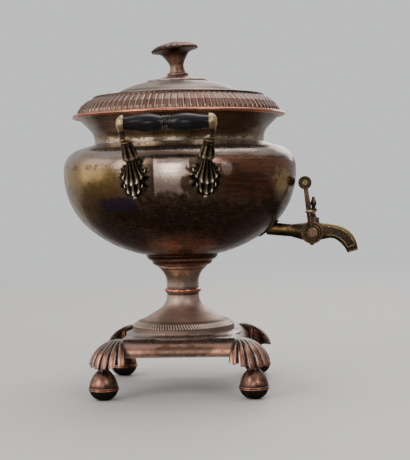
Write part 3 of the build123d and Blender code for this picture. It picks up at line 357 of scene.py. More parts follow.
def make_old_plate():
    """Clouds, fine mottling, level streaks and dents of old plate, all between 0 and 1."""
    group, given, results = new_group("old_plate", ["Size", "Seed"], ["Clouds", "Mottle", "Streaks", "Dents"])
    place = given["Position"]
    frequency = group.maths("DIVIDE", 1.0, given["Size"])

    def noise(share, detail, roughness, distortion, vector):
        """Noise with spots of a share of the pattern's size."""
        inputs = {
            "Vector": vector,
            "W": given["Seed"],
            "Scale": group.times(frequency, share),
            "Detail": detail,
            "Roughness": roughness,
            "Distortion": distortion,
        }
        return group.noise(inputs, noise_dimensions="4D")

    level = group.add("ShaderNodeMapping", {"Vector": place, "Scale": (1.0, 1.0, 7.0)}).outputs[0]
    group.give(results["Clouds"], group.ramp(noise(1.0, 5.0, 0.6, 0.8, place), 0.36, 0.64))
    group.give(results["Mottle"], group.ramp(noise(6.0, 7.0, 0.68, 0.4, place), 0.38, 0.64))
    group.give(results["Streaks"], group.ramp(noise(2.0, 6.0, 0.62, 0.4, level), 0.42, 0.62))
    group.give(results["Dents"], noise(1.6, 2.0, 0.5, 0.0, place))
    return group.tree


patch_numbers = ["Across", "Height", "Half width", "Half height", "Ragged", "Soft"]
patch_squareness = 2.6


def make_ragged_patch():
    """A soft patch on the near side, between 0 outside and 1 inside, with a ragged edge."""
    group, given, results = new_group("ragged_patch", patch_numbers, ["Patch"])
    place = given["Position"]
    x, y, z = group.add("ShaderNodeSeparateXYZ", {0: place}).outputs
    noise = group.noise({"Vector": place, "Scale": 80.0, "Detail": 8.0, "Roughness": 0.68})
    swing = group.times(group.maths("SUBTRACT", noise, 0.5), given["Ragged"])
    powers = []
    for value, middle, half in ((x, "Across", "Half width"), (z, "Height", "Half height")):
        share = group.maths("DIVIDE", group.away(value, given[middle]), given[half])
        powers.append(group.maths("POWER", share, patch_squareness))
    reach = group.maths("POWER", group.maths("ADD", *powers), 1 / patch_squareness)
    outer, inner = [group.maths(operation, 1.0, given["Soft"]) for operation in ("ADD", "SUBTRACT")]
    patch = group.ramp(group.maths("ADD", reach, swing), outer, inner)
    group.give(results["Patch"], group.times(patch, group.ramp(y, 0.0, -0.03)))
    return group.tree


old_plate = make_old_plate()
ragged_patch = make_ragged_patch()


class Finish(Nodes):
    """A material built up in layers: a base, and layers over it, some of the real finish and some of painted
    light and shade.
    """

    def __init__(self, name, size, seed):
        self.material = bpy.data.materials.new(name)
        self.material.use_nodes = True
        super().__init__(self.material.node_tree)
        self.shader = self.tree.nodes["Principled BSDF"].inputs
        self.place = self.add("ShaderNodeTexCoord").outputs["Object"]
        self.x, self.y, self.z = self.add("ShaderNodeSeparateXYZ", {0: self.place}).outputs
        self.clouds, self.mottle, self.streaks, self.dents = self.plate(size, seed)

    def plate(self, size, seed):
        """The old plate's four masks, at a size."""
        inputs = {"Position": self.place, "Size": size, "Seed": seed}
        return self.add("ShaderNodeGroup", inputs, node_tree=old_plate).outputs

    def stain(self, name):
        """The mask of one of the stains."""
        inputs = {"Position": self.place, **dict(zip(patch_numbers, stains[name]))}
        return self.add("ShaderNodeGroup", inputs, node_tree=ragged_patch).outputs[0]

    def start(self, first, second, *masks):
        """The base: the first colour, and the second where the masks are 1."""
        self.colour = self.mixed(self.times(*masks), first, second)

    def lay(self, colour, *masks):
        """Lay a colour over what is there, by the product of masks and amounts."""
        self.colour = self.mixed(self.times(*masks), self.colour, colour)

    def uneven(self, smoothest, spread):
        """Roughness that follows the mottling."""
        return self.scaled(self.mottle, spread, smoothest)

    def done(self, rough, metallic=0.92, relief=None, depth=0.0003, strength=0.25):
        """Wire the shader, with the mottling as relief if none is given, and return the material."""
        self.give(self.shader["Base Color"], self.colour)
        self.give(self.shader["Roughness"], rough)
        self.give(self.shader["Metallic"], metallic)
        height = self.mottle if relief is None else relief
        inputs = {"Height": height, "Distance": depth, "Strength": strength}
        self.give(self.shader["Normal"], self.add("ShaderNodeBump", inputs).outputs[0])
        return self.material


# Colours of the finishes, linear
pale_silver = (0.66, 0.56, 0.50, 1)
bare_silver = (0.93, 0.73, 0.61, 1)
rose_silver = (0.40, 0.29, 0.24, 1)
grey_silver = (0.34, 0.29, 0.26, 1)
pale_rose = (0.60, 0.45, 0.40, 1)
pedestal_rose = (0.62, 0.41, 0.32, 1)
taupe = (0.23, 0.155, 0.115, 1)
bowl_brown = (0.150, 0.086, 0.055, 1)
umber = (0.10, 0.060, 0.042, 1)
belly_tarnish_and_shade = (0.058, 0.033, 0.021, 1)
black_brown = (0.020, 0.013, 0.010, 1)
blued_bronze = (0.035, 0.038, 0.050, 1)
bright_copper = (0.62, 0.25, 0.15, 1)
worn_copper = (0.46, 0.19, 0.115, 1)
dark_copper = (0.15, 0.064, 0.040, 1)
rust_red = (0.21, 0.080, 0.045, 1)
ember_red = (0.34, 0.115, 0.050, 1)
pale_gold = (0.58, 0.47, 0.29, 1)
straw_gold = (0.31, 0.20, 0.072, 1)
deep_gold = (0.20, 0.122, 0.046, 1)
violet_tarnish = (0.060, 0.045, 0.085, 1)
verdigris = (0.085, 0.115, 0.115, 1)
edge_wear_and_highlight = (0.52, 0.45, 0.34, 1)
bright_brass = (0.58, 0.44, 0.23, 1)
old_brass = (0.25, 0.17, 0.085, 1)
olive_brass = (0.11, 0.085, 0.045, 1)
dark_brass = (0.035, 0.027, 0.019, 1)
leaf_hollow_shade = (0.012, 0.011, 0.010, 1)
ebony_black = (0.006, 0.006, 0.008, 1)
ebony_grain = (0.016, 0.013, 0.014, 1)
ebony_ring_highlight = (0.11, 0.09, 0.075, 1)
iron_grey = (0.07, 0.065, 0.065, 1)
iron_scale = (0.13, 0.085, 0.06, 1)


def make_bowl_metal():
    """Bowl: silver worn thin in patches, gold and violet tarnish, and a nearly black underside, with painted
    reflection, highlight and shade laid among them.
    """
    bowl = Finish("bowl_metal", 0.045, 1.3)
    bowl.start(bowl_brown, taupe, bowl.clouds)
    bowl.lay(umber, bowl.streaks, 0.35)

    # Rosy grey at the upper left
    bowl.lay(rose_silver, bowl.stain("rosy"), 0.7)

    # Reddish brown with level streaks beside the right leaf, and a golden edge beyond it
    red = bowl.mixed(bowl.ramp(bowl.streaks, 0.2, 0.8), rust_red, umber)
    bowl.lay(red, bowl.stain("red"), 0.9)
    bowl.lay(straw_gold, bowl.stain("right_gold"), bowl.ramp(bowl.mottle, 0.9, 0.2))

    # Gold at the left, partly golden tarnish and partly a painted reflection of the lit wall, deeper towards
    # its lower edge and freckled above
    depth = bowl.ramp(bowl.scaled(bowl.clouds, 0.012, bowl.z), 0.240, 0.220)
    golden = bowl.mixed(depth, straw_gold, deep_gold)
    bowl.lay(golden, bowl.stain("gold"), bowl.ramp(bowl.mottle, 1.6, 0.4))
    bowl.lay(umber, bowl.stain("freckles"), bowl.ramp(bowl.mottle, 0.4, 0.7), 0.8)

    # The underside goes dark below a ragged line, dark tarnish with painted shade over it, and keeps brown
    # and copper-red specks
    line = bowl.scaled(bowl.mottle, 0.008, bowl.scaled(bowl.clouds, 0.010, bowl.z))
    still_gold = bowl.scaled(bowl.stain("low_gold"), -0.8, 1.0)
    under = bowl.times(bowl.ramp(line, 0.2225, 0.2110), still_gold)
    bowl.lay(belly_tarnish_and_shade, under, 0.94)
    fine_clouds, fine_mottle, fine_streaks, _ = bowl.plate(0.015, 4.7)
    specks = bowl.times(fine_streaks, fine_mottle, bowl.ramp(bowl.clouds, 0.0, 0.7))
    bowl.lay(taupe, specks, bowl.ramp(bowl.z, 0.224, 0.200), 0.95)
    bowl.lay(dark_copper, bowl.ramp(bowl.z, 0.195, 0.160), bowl.ramp(fine_clouds, 0.2, 0.9), 0.75)
    bowl.lay(ember_red, bowl.stain("ember"), bowl.ramp(bowl.mottle, 0.1, 0.9), 0.75)
    bowl.lay(violet_tarnish, bowl.stain("violet"), 0.85)

    # The pale patch between the leaves, bare silver with a painted window reflection over it, brightest
    # across its middle: a straight left edge, the others ragged
    near = bowl.ramp(bowl.y, 0.0, -0.03)
    bare_and_reflection = bowl.times(
        near,
        bowl.ramp(bowl.x, -0.0162, -0.0148),
        bowl.ramp(bowl.scaled(bowl.mottle, -0.0055, bowl.x), 0.0172, 0.0152),
        bowl.ramp(bowl.scaled(bowl.streaks, 0.0050, bowl.z), 0.2535, 0.2485),
        bowl.ramp(bowl.scaled(bowl.mottle, 0.0060, bowl.z), 0.2135, 0.2215),
        bowl.maths("SUBTRACT", 1.0, bowl.stain("notch")),
    )
    edge_across = bowl.band(bowl.x, -0.0200, -0.0170, -0.0162, -0.0150)
    edge_up = bowl.band(bowl.z, 0.2120, 0.2200, 0.2500, 0.2550)
    bowl.lay(umber, near, edge_across, edge_up, 0.8)
    silver_and_window_reflection = bowl.mixed(bowl.band(bowl.z, 0.2210, 0.2330, 0.2400, 0.2480), pale_rose, bare_silver)
    bowl.lay(silver_and_window_reflection, bare_and_reflection, 0.96)
    # A small painted highlight on the right
    bowl.lay(pale_rose, bowl.stain("painted_glint"), 0.6)

    # The paler shoulder above a ragged line, grey silver plate with a painted reflection of the ceiling over
    # it, and a painted shade arc over the pale patch
    shoulder = bowl.ramp(bowl.scaled(bowl.streaks, -0.006, bowl.z), 0.246, 0.254)
    shoulder_sheen = bowl.mixed(bowl.times(bowl.clouds, 0.6), grey_silver, taupe)
    bowl.lay(shoulder_sheen, shoulder, 0.9)
    bowl.lay(umber, bowl.stain("shade_arc"), 0.6)

    rough = bowl.scaled(under, 0.05, bowl.uneven(0.17, 0.13))
    relief = bowl.scaled(bowl.mottle, 0.05, bowl.dents)
    return bowl.done(rough, 0.94, relief, depth=0.0012, strength=0.3)


def make_neck_metal():
    """Neck: golden brown, with painted shade under the rim and paler worn patches at its foot."""
    neck = Finish("neck_metal", 0.035, 5.5)
    neck.start(deep_gold, taupe, neck.clouds)
    neck.lay(umber, neck.scaled(neck.streaks, 0.45, 0.4))
    neck.lay(pale_gold, neck.ramp(neck.z, 0.277, 0.268), neck.ramp(neck.mottle, 0.9, 0.3), 0.9)
    # Painted shade under the rim
    under_rim_shade = neck.ramp(neck.scaled(neck.clouds, -0.008, neck.z), 0.280, 0.298)
    neck.lay(umber, under_rim_shade, 0.85)
    return neck.done(neck.uneven(0.20, 0.12), 0.95, neck.dents, depth=0.0010, strength=0.3)


def make_plate_metal(name, seed, silver, warm, smoothest=0.23, warm_share=1.0, dark_share=0.35):
    """Plain plate or copper: one colour, another in clouds, and dark tarnish."""
    plate = Finish(name, 0.02, seed)
    plate.start(silver, warm, plate.clouds, warm_share)
    plate.lay(umber, plate.streaks, plate.mottle, dark_share)
    relief = plate.scaled(plate.mottle, 0.06, plate.dents)
    return plate.done(plate.uneven(smoothest, 0.14), 0.95, relief, depth=0.0006)


def make_band_metal():
    """Gadrooned band: brown panels, thin pale silver lines between them, and painted shade on the panels'
    flanks and along its foot.
    """
    band = Finish("band_metal", 0.03, 6.6)
    turn = band.maths("ARCTAN2", band.y, band.x)
    wave = band.maths("COSINE", band.times(turn, float(gadroon_count)))
    band.start(dark_copper, taupe, band.clouds)
    band.lay(rust_red, band.mottle, 0.4)
    # Painted shade on the panels' flanks towards the lines
    band.lay(black_brown, band.ramp(wave, 0.15, 0.55), 0.8)
    middle = band.band(band.z, rim_z + 0.0015, rim_z + 0.0035, band_top_z - 0.0018, band_top_z - 0.0002)
    band.lay(pale_rose, band.ramp(wave, 0.70, 0.94), middle, 0.7)
    # Painted shade along the crease above the rim wire
    band.lay(black_brown, band.ramp(band.z, rim_z + 0.0022, rim_z + 0.0008), 0.75)
    return band.done(band.uneven(0.30, 0.14), 0.93, strength=0.3)


def make_lid_metal():
    """Lid: grey-brown satin plate with painted shade along its edge and in a ring round its dome."""
    lid = Finish("lid_metal", 0.05, 7.1)
    reach = lid.length(lid.x, lid.y)
    lid.start(rose_silver, grey_silver, lid.clouds)
    lid.lay(taupe, lid.mottle, 0.35)
    # Painted shade along the edge and round the foot of the dome
    lid.lay(black_brown, lid.ramp(reach, lid_radius - 0.0050, lid_radius - 0.0023), 0.85)
    lid.lay(umber, lid.band(reach, *dome_edge), 0.7)
    return lid.done(lid.uneven(0.30, 0.10), 0.94, lid.dents, depth=0.0006)


def make_knob_metal():
    """Knob: brown copper, its flutes' edges worn pale, and painted shade in its throat."""
    knob = Finish("knob_metal", 0.015, 9.3)
    knob.start(dark_copper, taupe, knob.clouds)
    knob.lay(rust_red, knob.mottle, 0.5)
    cap = knob.ramp(knob.z, knob_top_z - 0.0043, knob_top_z - 0.0008)
    knob.lay(rose_silver, cap, knob.ramp(knob.mottle, 0.3, 0.9), 0.6)
    # Painted shade in the throat under the cap
    throat = [knob_top_z - drop for drop in (0.0208, 0.0138, 0.0078, 0.0053)]
    knob.lay(black_brown, knob.band(knob.z, *throat), 0.85)
    return knob.done(knob.uneven(0.26, 0.16), 0.93)


def make_pedestal_metal():
    """Pedestal: smooth grey-pink plate, gilt above its waist, with painted shade along its mouldings and a
    line of verdigris.
    """
    stem = Finish("pedestal_metal", 0.035, 3.1)
    stem.start(pedestal_rose, rose_silver, stem.clouds)
    stem.lay(taupe, stem.streaks, 0.25)
    stem.lay(straw_gold, stem.ramp(stem.z, waist_z + 0.006, waist_z + 0.020), stem.mottle, 0.6)
    # Painted shade in the creases, between the milled bars, under the waist bead and under the cup; the green
    # band is verdigris
    bands = (
        (pedestal_z + 0.0000, pedestal_z + 0.0032, umber, 0.35),
        (pedestal_z + 0.0034, pedestal_z + 0.0104, black_brown, 0.85),
        (pedestal_z + 0.0106, pedestal_z + 0.0122, umber, 0.5),
        (waist_z - 0.0022, waist_z, black_brown, 0.8),
        (waist_z + 0.0050, waist_z + 0.0066, verdigris, 0.7),
        (cup_z - 0.0030, cup_z - 0.0008, umber, 0.7),
    )
    for low, high, shade, amount in bands:
        soft = (high - low) * 0.3
        stem.lay(shade, stem.band(stem.z, low - soft, low + soft, high - soft, high + soft), amount)
    satin = stem.ramp(stem.z, waist_z + 0.004, waist_z - 0.010)
    rough = stem.scaled(satin, 0.15, stem.uneven(0.27, 0.10))
    return stem.done(rough, 0.90, stem.dents, depth=0.0006, strength=0.15)


def make_cup_metal():
    """Cup under the bowl: painted shade at its lip under the bowl and in its ledge, with copper bands between
    them.
    """
    cup = Finish("cup_metal", 0.02, 8.2)
    cup.start(worn_copper, dark_copper, cup.clouds)
    cup.lay(rose_silver, cup.mottle, 0.35)
    # Painted shade at the lip under the bowl and in the ledge
    cup.lay(black_brown, cup.ramp(cup.z, cup_z + 0.0085, cup_z + 0.0100), 0.85)
    ledge = [cup_z + rise for rise in (0.0040, 0.0050, 0.0060, 0.0068)]
    cup.lay(black_brown, cup.band(cup.z, *ledge), 0.85)
    return cup.done(cup.uneven(0.26, 0.15), 0.94)


def make_plinth_metal():
    """Plinth: grey silver on top, worn to rosy copper down its panels, with a painted dark reflection on its
    front.
    """
    plinth = Finish("plinth_metal", 0.028, 4.1)
    line = plinth.scaled(plinth.clouds, 0.004, plinth.z)
    plinth.start(grey_silver, rose_silver, plinth.clouds)
    worn = plinth.mixed(plinth.times(plinth.streaks, 0.5), worn_copper, rose_silver)
    plinth.lay(worn, plinth.ramp(line, plinth_top_z - 0.001, plinth_top_z - 0.007), 0.85)
    # A painted dark reflection on the front panel
    plinth.lay(umber, plinth.stain("plinth"), 0.85)
    plinth.lay(pale_silver, plinth.ramp(plinth.z, plinth_top_z - 0.0165, plinth_top_z - 0.0185), 0.6)
    return plinth.done(plinth.uneven(0.22, 0.12), 0.95, plinth.dents, depth=0.0008)


def make_shell_metal():
    """Corner shells: copper crests, dark grooves with a trace of green, and grey silver on top."""
    shell = Finish("shell_metal", 0.02, 2.2)

    # 1 on a flute's crest and 0 in a groove, alike in all four corners
    x, y = [
        shell.maths("SUBTRACT", shell.maths("ABSOLUTE", side), shell_centre)
        for side in (shell.x, shell.y)
    ]
    turn = shell.maths("SUBTRACT", shell.maths("ARCTAN2", y, x), math.pi / 4)
    wave = shell.maths("COSINE", shell.times(turn, math.tau / flute_step))
    crest = shell.scaled(wave, 0.5, 0.5)
    groove = shell.ramp(crest, 0.34, 0.10)
    outer = shell.ramp(shell.length(x, y), 0.006, 0.016)

    shell.start(worn_copper, dark_copper, shell.clouds)
    shell.lay(grey_silver, shell.ramp(shell.z, plinth_top_z - 0.010, plinth_top_z - 0.001), 0.85)
    shell.lay(rose_silver, shell.mottle, 0.25)
    lining = shell.mixed(shell.ramp(shell.mottle, 0.3, 0.8), black_brown, verdigris)
    shell.lay(lining, groove, outer, 0.92)
    shell.lay(pale_silver, shell.band(crest, 0.26, 0.40, 0.44, 0.58), outer, 0.6)
    return shell.done(shell.scaled(groove, 0.25, 0.27), 0.94)


def make_foot_metal():
    """Ball feet: dark bronze, copper on the upper half that is partly rubbed and partly painted highlight,
    and rubbed copper on the double band.
    """
    foot = Finish("foot_metal", 0.018, 6.4)
    foot.start(umber, blued_bronze, foot.clouds)
    # Copper on the upper half: partly rubbed, partly painted highlight
    upper_wear_and_highlight = foot.band(foot.z, 0.014, 0.018, 0.024, 0.030)
    foot.lay(worn_copper, upper_wear_and_highlight, foot.ramp(foot.clouds, 0.0, 0.9), 0.75)
    foot.lay(dark_copper, foot.mottle, foot.ramp(foot.z, 0.010, 0.016), 0.35)
    for middle in foot_bead_heights:
        foot.lay(bright_copper, foot.ramp(foot.away(foot.z, middle), 0.0007, 0.0003), 0.85)
    foot.lay(black_brown, foot.ramp(foot.away(foot.z, foot_line_height), 0.0005, 0.0002), 0.9)
    return foot.done(foot.uneven(0.22, 0.16), strength=0.2)


def make_brass_metal(name, size, seed, light, shade, dark):
    """Cast brass or copper: light on rubbed places, darker in clouds, and darkest in spots."""
    brass = Finish(name, size, seed)
    brass.start(light, shade, brass.clouds)
    brass.lay(dark, brass.ramp(brass.mottle, 0.35, 0.9), 0.5)
    return brass.done(brass.uneven(0.24, 0.20))


def make_tap_metal():
    """Tap: nearly black bronze, with painted golden highlights along the tube's and the spout's tops."""
    tap = Finish("tap_metal", 0.014, 4.4)
    tap.start(dark_brass, olive_brass, tap.clouds)
    # Painted golden highlight along the top of the tube
    tube_top_highlight = tap.ramp(tap.away(tap.z, plug_z + 0.004), 0.0045, 0.001)
    tube = tap.times(tap.ramp(tap.x, plug_x - 0.015, plug_x - 0.025), tube_top_highlight)
    tap.lay(straw_gold, tube, tap.ramp(tap.mottle, 1.3, 0.2))

    # Distance from the centre of the spout's bend
    along = tap.maths("SUBTRACT", tap.x, plug_x + spout_straight)
    drop = tap.maths("SUBTRACT", tap.z, plug_z + spout_rise - spout_bend_radius)
    back = tap.ramp(tap.length(along, drop), spout_bend_radius + 0.0040, spout_bend_radius + 0.0062)
    # Painted golden highlight along the back of the spout's bend
    tap.lay(straw_gold, back, tap.ramp(tap.x, plug_x + 0.008, plug_x + 0.012), 0.55)
    tap.lay(rose_silver, tap.ramp(tap.z, plug_z + 0.010, plug_z + 0.013), 0.35)
    return tap.done(tap.uneven(0.26, 0.18))


def make_finial_metal():
    """Tap finial: an olive bud over a bright bead and a dark foot."""
    finial = Finish("finial_metal", 0.008, 2.4)
    low, high = heights("tap_finial")
    finial.start(olive_brass, dark_brass, finial.clouds)
    bead = finial.band(finial.z, low + 0.0035, low + 0.0048, low + 0.0070, low + 0.0084)
    finial.lay(bright_brass, bead, 0.9)
    bud = finial.ramp(finial.z, high - 0.009, high - 0.002)
    finial.lay(old_brass, bud, finial.ramp(finial.mottle, 1.0, 0.2))
    return finial.done(finial.uneven(0.26, 0.18), 0.9)


def make_lever_metal():
    """Tap lever: copper-gold at its top and a bright collar, both painted highlights on the brass, and black
    below it.
    """
    lever = Finish("lever_metal", 0.010, 5.9)
    top = heights("tap_lever")[1]
    lever.start(dark_brass, umber, lever.clouds)
    # Painted golden highlight on the upper part
    golden = lever.mixed(lever.mottle, deep_gold, dark_copper)
    upper = lever.scaled(lever.clouds, 0.006, lever.z)
    lever.lay(golden, lever.ramp(upper, plug_z + 0.034, plug_z + 0.042))
    lever.lay(dark_brass, lever.ramp(lever.z, top - 0.0155, top - 0.0120), 0.8)
    # Painted highlight on the collar
    collar = [plug_z + rise for rise in (0.0215, 0.0221, 0.0244, 0.0250)]
    lever.lay(bright_brass, lever.band(lever.z, *collar), 0.9)
    return lever.done(lever.uneven(0.24, 0.2))


def make_arm_metal():
    """Handle arms: yellow brass knuckles, a dark shaft and rubbed rings."""
    arm = Finish("arm_metal", 0.010, 7.7)
    arm.start(dark_brass, olive_brass, arm.clouds)
    arm.lay(old_brass, arm.band(arm.z, *arm_rings), arm.ramp(arm.mottle, 0.9, 0.2), 0.75)
    yellow = arm.mixed(arm.times(arm.mottle, 0.6), bright_brass, old_brass)
    arm.lay(yellow, arm.ramp(arm.scaled(arm.clouds, 0.002, arm.z), knuckle_z, knuckle_z + 0.003))
    return arm.done(arm.uneven(0.24, 0.16))


def make_leaf_metal():
    """Cast leaves, after their relief: painted shade in the hollows, olive brass flanks, and pale edges that
    are partly rubbed and partly painted highlight.
    """
    leaf = Finish("leaf_metal", 0.006, 3.3)
    relief = leaf.add("ShaderNodeAttribute", attribute_name="relief").outputs["Fac"]
    # The relief value carries painted shade in the hollows, and painted highlight with wear on the edges
    worn = leaf.scaled(leaf.maths("SUBTRACT", leaf.mottle, 0.5), 0.30, relief)
    flank = leaf.mixed(leaf.clouds, olive_brass, old_brass)
    leaf.start(leaf_hollow_shade, flank, leaf.ramp(worn, 0.20, 0.68))
    leaf.lay(edge_wear_and_highlight, leaf.ramp(worn, 0.66, 1.05))
    return leaf.done(leaf.uneven(0.26, 0.16), strength=0.3)


def make_ebony():
    """Polished black wood with a faint lengthwise grain, and painted highlights on its middle rings."""
    wood = Finish("ebony", 0.02, 8.8)
    lengthwise = wood.add("ShaderNodeMapping", {"Vector": wood.place, "Scale": (0.25, 4.0, 4.0)}).outputs[0]
    grain = wood.noise({"Vector": lengthwise, "Scale": 160.0, "Detail": 4.0, "Roughness": 0.6})
    wood.start(ebony_black, ebony_grain, wood.ramp(grain, 0.4, 0.7))
    # Painted highlights on the middle rings
    rings = wood.ramp(wood.maths("ABSOLUTE", wood.x), 0.0052, 0.0044)
    wood.lay(ebony_ring_highlight, rings, wood.ramp(wood.mottle, 0.3, 0.8), 0.6)
    wood.give(wood.shader["Specular IOR Level"], 0.28)
    return wood.done(wood.uneven(0.17, 0.08), 0.0, grain, depth=0.0001, strength=0.1)


def make_iron():
    """Forged iron with scale."""
    iron = Finish("forged_iron", 0.012, 3.7)
    iron.start(iron_grey, iron_scale, iron.mottle)
    return iron.done(0.55, 0.7, depth=0.0005, strength=0.5)


bowl_metal = make_bowl_metal()
pedestal_metal = make_pedestal_metal()
rim_copper = make_plate_metal("rim_copper", 1.9, bright_copper, worn_copper, smoothest=0.19, warm_share=0.9)
plate_rim_metal = make_plate_metal("plate_rim_metal", 4.8, pale_rose, rose_silver)
tick_metal = make_plate_metal(
    "tick_metal", 2.9, bare_silver, pale_silver, smoothest=0.37, warm_share=0.7, dark_share=0.1,
)
tap_brass = make_brass_metal("tap_brass", 0.012, 4.6, olive_brass, dark_brass, black_brown)
line_brass = make_brass_metal("line_brass", 0.006, 1.1, bright_brass, old_brass, olive_brass)
ring_copper = make_brass_metal("ring_copper", 0.006, 1.4, worn_copper, taupe, umber)
foot_metal = make_foot_metal()
shell_metal = make_shell_metal()
arm_metal = make_arm_metal()
leaf_metal = make_leaf_metal()
ebony = make_ebony()
forged_iron = make_iron()

# The finish of each node, or of all nodes whose names start so; the first that fits counts
finishes = {
    "lower_bowl": bowl_metal,
    "shoulder": bowl_metal,
    "neck": make_neck_metal(),
    "gadrooned_band": make_band_metal(),
    "rim_wire": rim_copper,
    "lid_bezel": rim_copper,
    "lid": make_lid_metal(),
    "knob_plate": plate_rim_metal,
    "knob_nut": tap_brass,
    "knob": make_knob_metal(),
    "plinth": make_plinth_metal(),
    "pedestal_bead": rim_copper,
    "pedestal_cup": make_cup_metal(),
    "pedestal": pedestal_metal,
    "corner_shell": shell_metal,
    "foot": foot_metal,
    "bowl_boss": rim_copper,
    "heater_iron": forged_iron,
    "heater": rim_copper,
    "tie": forged_iron,
    "tap_body": make_tap_metal(),
    "tap_finial": make_finial_metal(),
    "tap_lever": make_lever_metal(),
    "tap": tap_brass,
    "plug": tap_brass,
    "lever_screw": ring_copper,
    "lever_rod": line_brass,
    "lever_grip": ebony,
    "near_grip_rod": arm_metal,
    "far_grip_rod": arm_metal,
    "near_grip": ebony,
    "far_grip": ebony,
    "near": arm_metal,
    "far": arm_metal,
}
for name, obj in nodes.items():
    painted(obj, next(finish for start, finish in finishes.items() if name.startswith(start)))


# Cast leaves that carry the arms


def tree_of(*names):
    """A search tree over the named nodes' surfaces."""
    points, faces = [], []
    for name in names:
        mesh = nodes[name].data
        start = len(points)
        points += [vertex.co.copy() for vertex in mesh.vertices]
        faces += [[start + index for index in face.vertices] for face in mesh.polygons]
    return BVHTree.FromPolygons(points, faces)


bowl_tree = tree_of("lower_bowl", "shoulder")


def bowl_reach(height):
    """Radius of the bowl's outside at a height."""
    place, _, _, _ = bowl_tree.ray_cast(Vector((-0.2, 0.0, height)), Vector((1, 0, 0)))
    return -place.x


def on_bowl(side, height, lift):
    """A point on the right near leaf: to its side, at a height, lifted off the bowl."""
    reach = bowl_reach(height)
    tilt = math.atan((bowl_reach(height + 0.002) - bowl_reach(height - 0.002)) / 0.004)
    turn = leaf_turn + math.asin(side / reach)
    out = reach + lift * math.cos(tilt)
    return Vector((out * math.sin(turn), -out * math.cos(turn), height - lift * math.sin(tilt)))


def make_tier(name, top, length, widths, lifts, strands, spread, ripple, curl, steps=24, half=44):
    """One hooded tier of the leaf: a fan of strands that ends in a scalloped, curled lip."""
    rows = []
    for step in range(steps + 1):
        along = step / steps
        width, middle_lift = eased(widths, along), eased(lifts, along)
        row = []
        for column in range(2 * half + 1):
            across = column / half - 1
            hood = math.cos(across * math.pi / 2)
            crest = abs(math.cos(strands * math.pi / 2 * across))
            down = (along * length + 0.0011 * crest * along ** 4) * math.cos(spread * across * along)
            lift = middle_lift * hood ** 0.8
            lift += ripple * (crest - 0.5) * (0.4 + 0.6 * along) * hood ** 0.3
            lift += curl * max(along - 0.75, 0) ** 2 * 16
            edge = max(abs(across) - 0.96, 0) / 0.04
            lift = lift * (1 - edge) - 0.0002 * edge
            # Relief value for the colour: painted shade between the strands, painted highlight and wear on
            # their crests and the lip
            worn = (0.10 + 0.72 * crest ** 5) * (0.55 + 0.45 * along)
            worn += 0.5 * crest * max(along - 0.86, 0) / 0.14
            row.append((on_bowl(width * math.sin(across * math.pi / 2), top - down, lift), worn))
        rows.append(row)
    tier = sheet(name, rows, closed=False)
    facing_out(tier)
    thickened(tier, leaf_thickness)
    return tier


def make_plate(rings=15, columns=12 * plate_lobes):
    """The leaf's lobed plate on the bowl, closed at its back."""
    front = [(ring / rings, False) for ring in range(rings + 1)]
    back = [(share, True) for share in (0.97, 0.5, plate_inner_share)]
    rows = []
    for share, behind in front + back:
        row = []
        for column in range(columns):
            turn = math.tau * column / columns
            away = min(turn, math.tau - turn) / math.pi
            crest = abs(math.cos(plate_lobes * turn / 2))
            reach = eased(plate_reach, away) * (1 - 0.13 * (1 - crest) ** 0.8)
            rise = (0.0009 + 0.0026 * crest) * math.sin(math.pi * min(share + 0.02, 1) ** 1.8) ** 0.7
            vein = 0.0007 * max(1 - abs(math.sin(plate_lobes * turn / 2)) * 6, 0) * share
            lift = -0.0006 if behind else rise - vein - (0.0003 if share == 1 else 0)
            distance = max(share, plate_inner_share) * reach
            # Relief value for the colour: painted highlight and wear towards the lobes' rims
            worn = (crest ** 3 * 0.7 + 0.3) * max(share - 0.62, 0) * 2.4
            side, height = distance * math.sin(turn), plate_middle_z - distance * math.cos(turn)
            row.append((on_bowl(side, height, lift), worn))
        rows.append(row)
    return sheet("leaf_plate", rows, closed=True)


def make_leaf_bead():
    """The small bead at the leaf's point."""
    deselect_all()
    place = on_bowl(0, plate_middle_z - plate_reach[0] + 0.0022, 0.0014)
    bpy.ops.mesh.primitive_uv_sphere_add(segments=18, ring_count=12, radius=leaf_bead_radius, location=place)
    bead = named("leaf_bead")
    settle(bead)
    relief = bead.data.attributes.new("relief", "FLOAT", "POINT")
    for entry in relief.data:
        entry.value = 0.9
    return bead


def make_leaf():
    """The right near leaf: plate, two hooded tiers and a bead."""
    upper = make_tier(
        "upper_tier", leaf_top_z, length=0.0255,
        widths=(0.0052, 0.0060, 0.0080, 0.0108, 0.0126),
        lifts=(0.0128, 0.0104, 0.0078, 0.0062, 0.0054),
        strands=7, spread=math.radians(70), ripple=0.0019, curl=0.0018,
    )
    lower = make_tier(
        "lower_tier", lower_tier_z, length=0.0243,
        widths=(0.0050, 0.0078, 0.0098, 0.0104, 0.0092),
        lifts=(0.0040, 0.0046, 0.0046, 0.0042, 0.0036),
        strands=5, spread=math.radians(60), ripple=0.0018, curl=0.0016,
    )
    leaf = joined([make_plate(), upper, lower, make_leaf_bead()], "leaf_near_right")
    facing_out(leaf)
    smoothed(leaf)
    return leaf


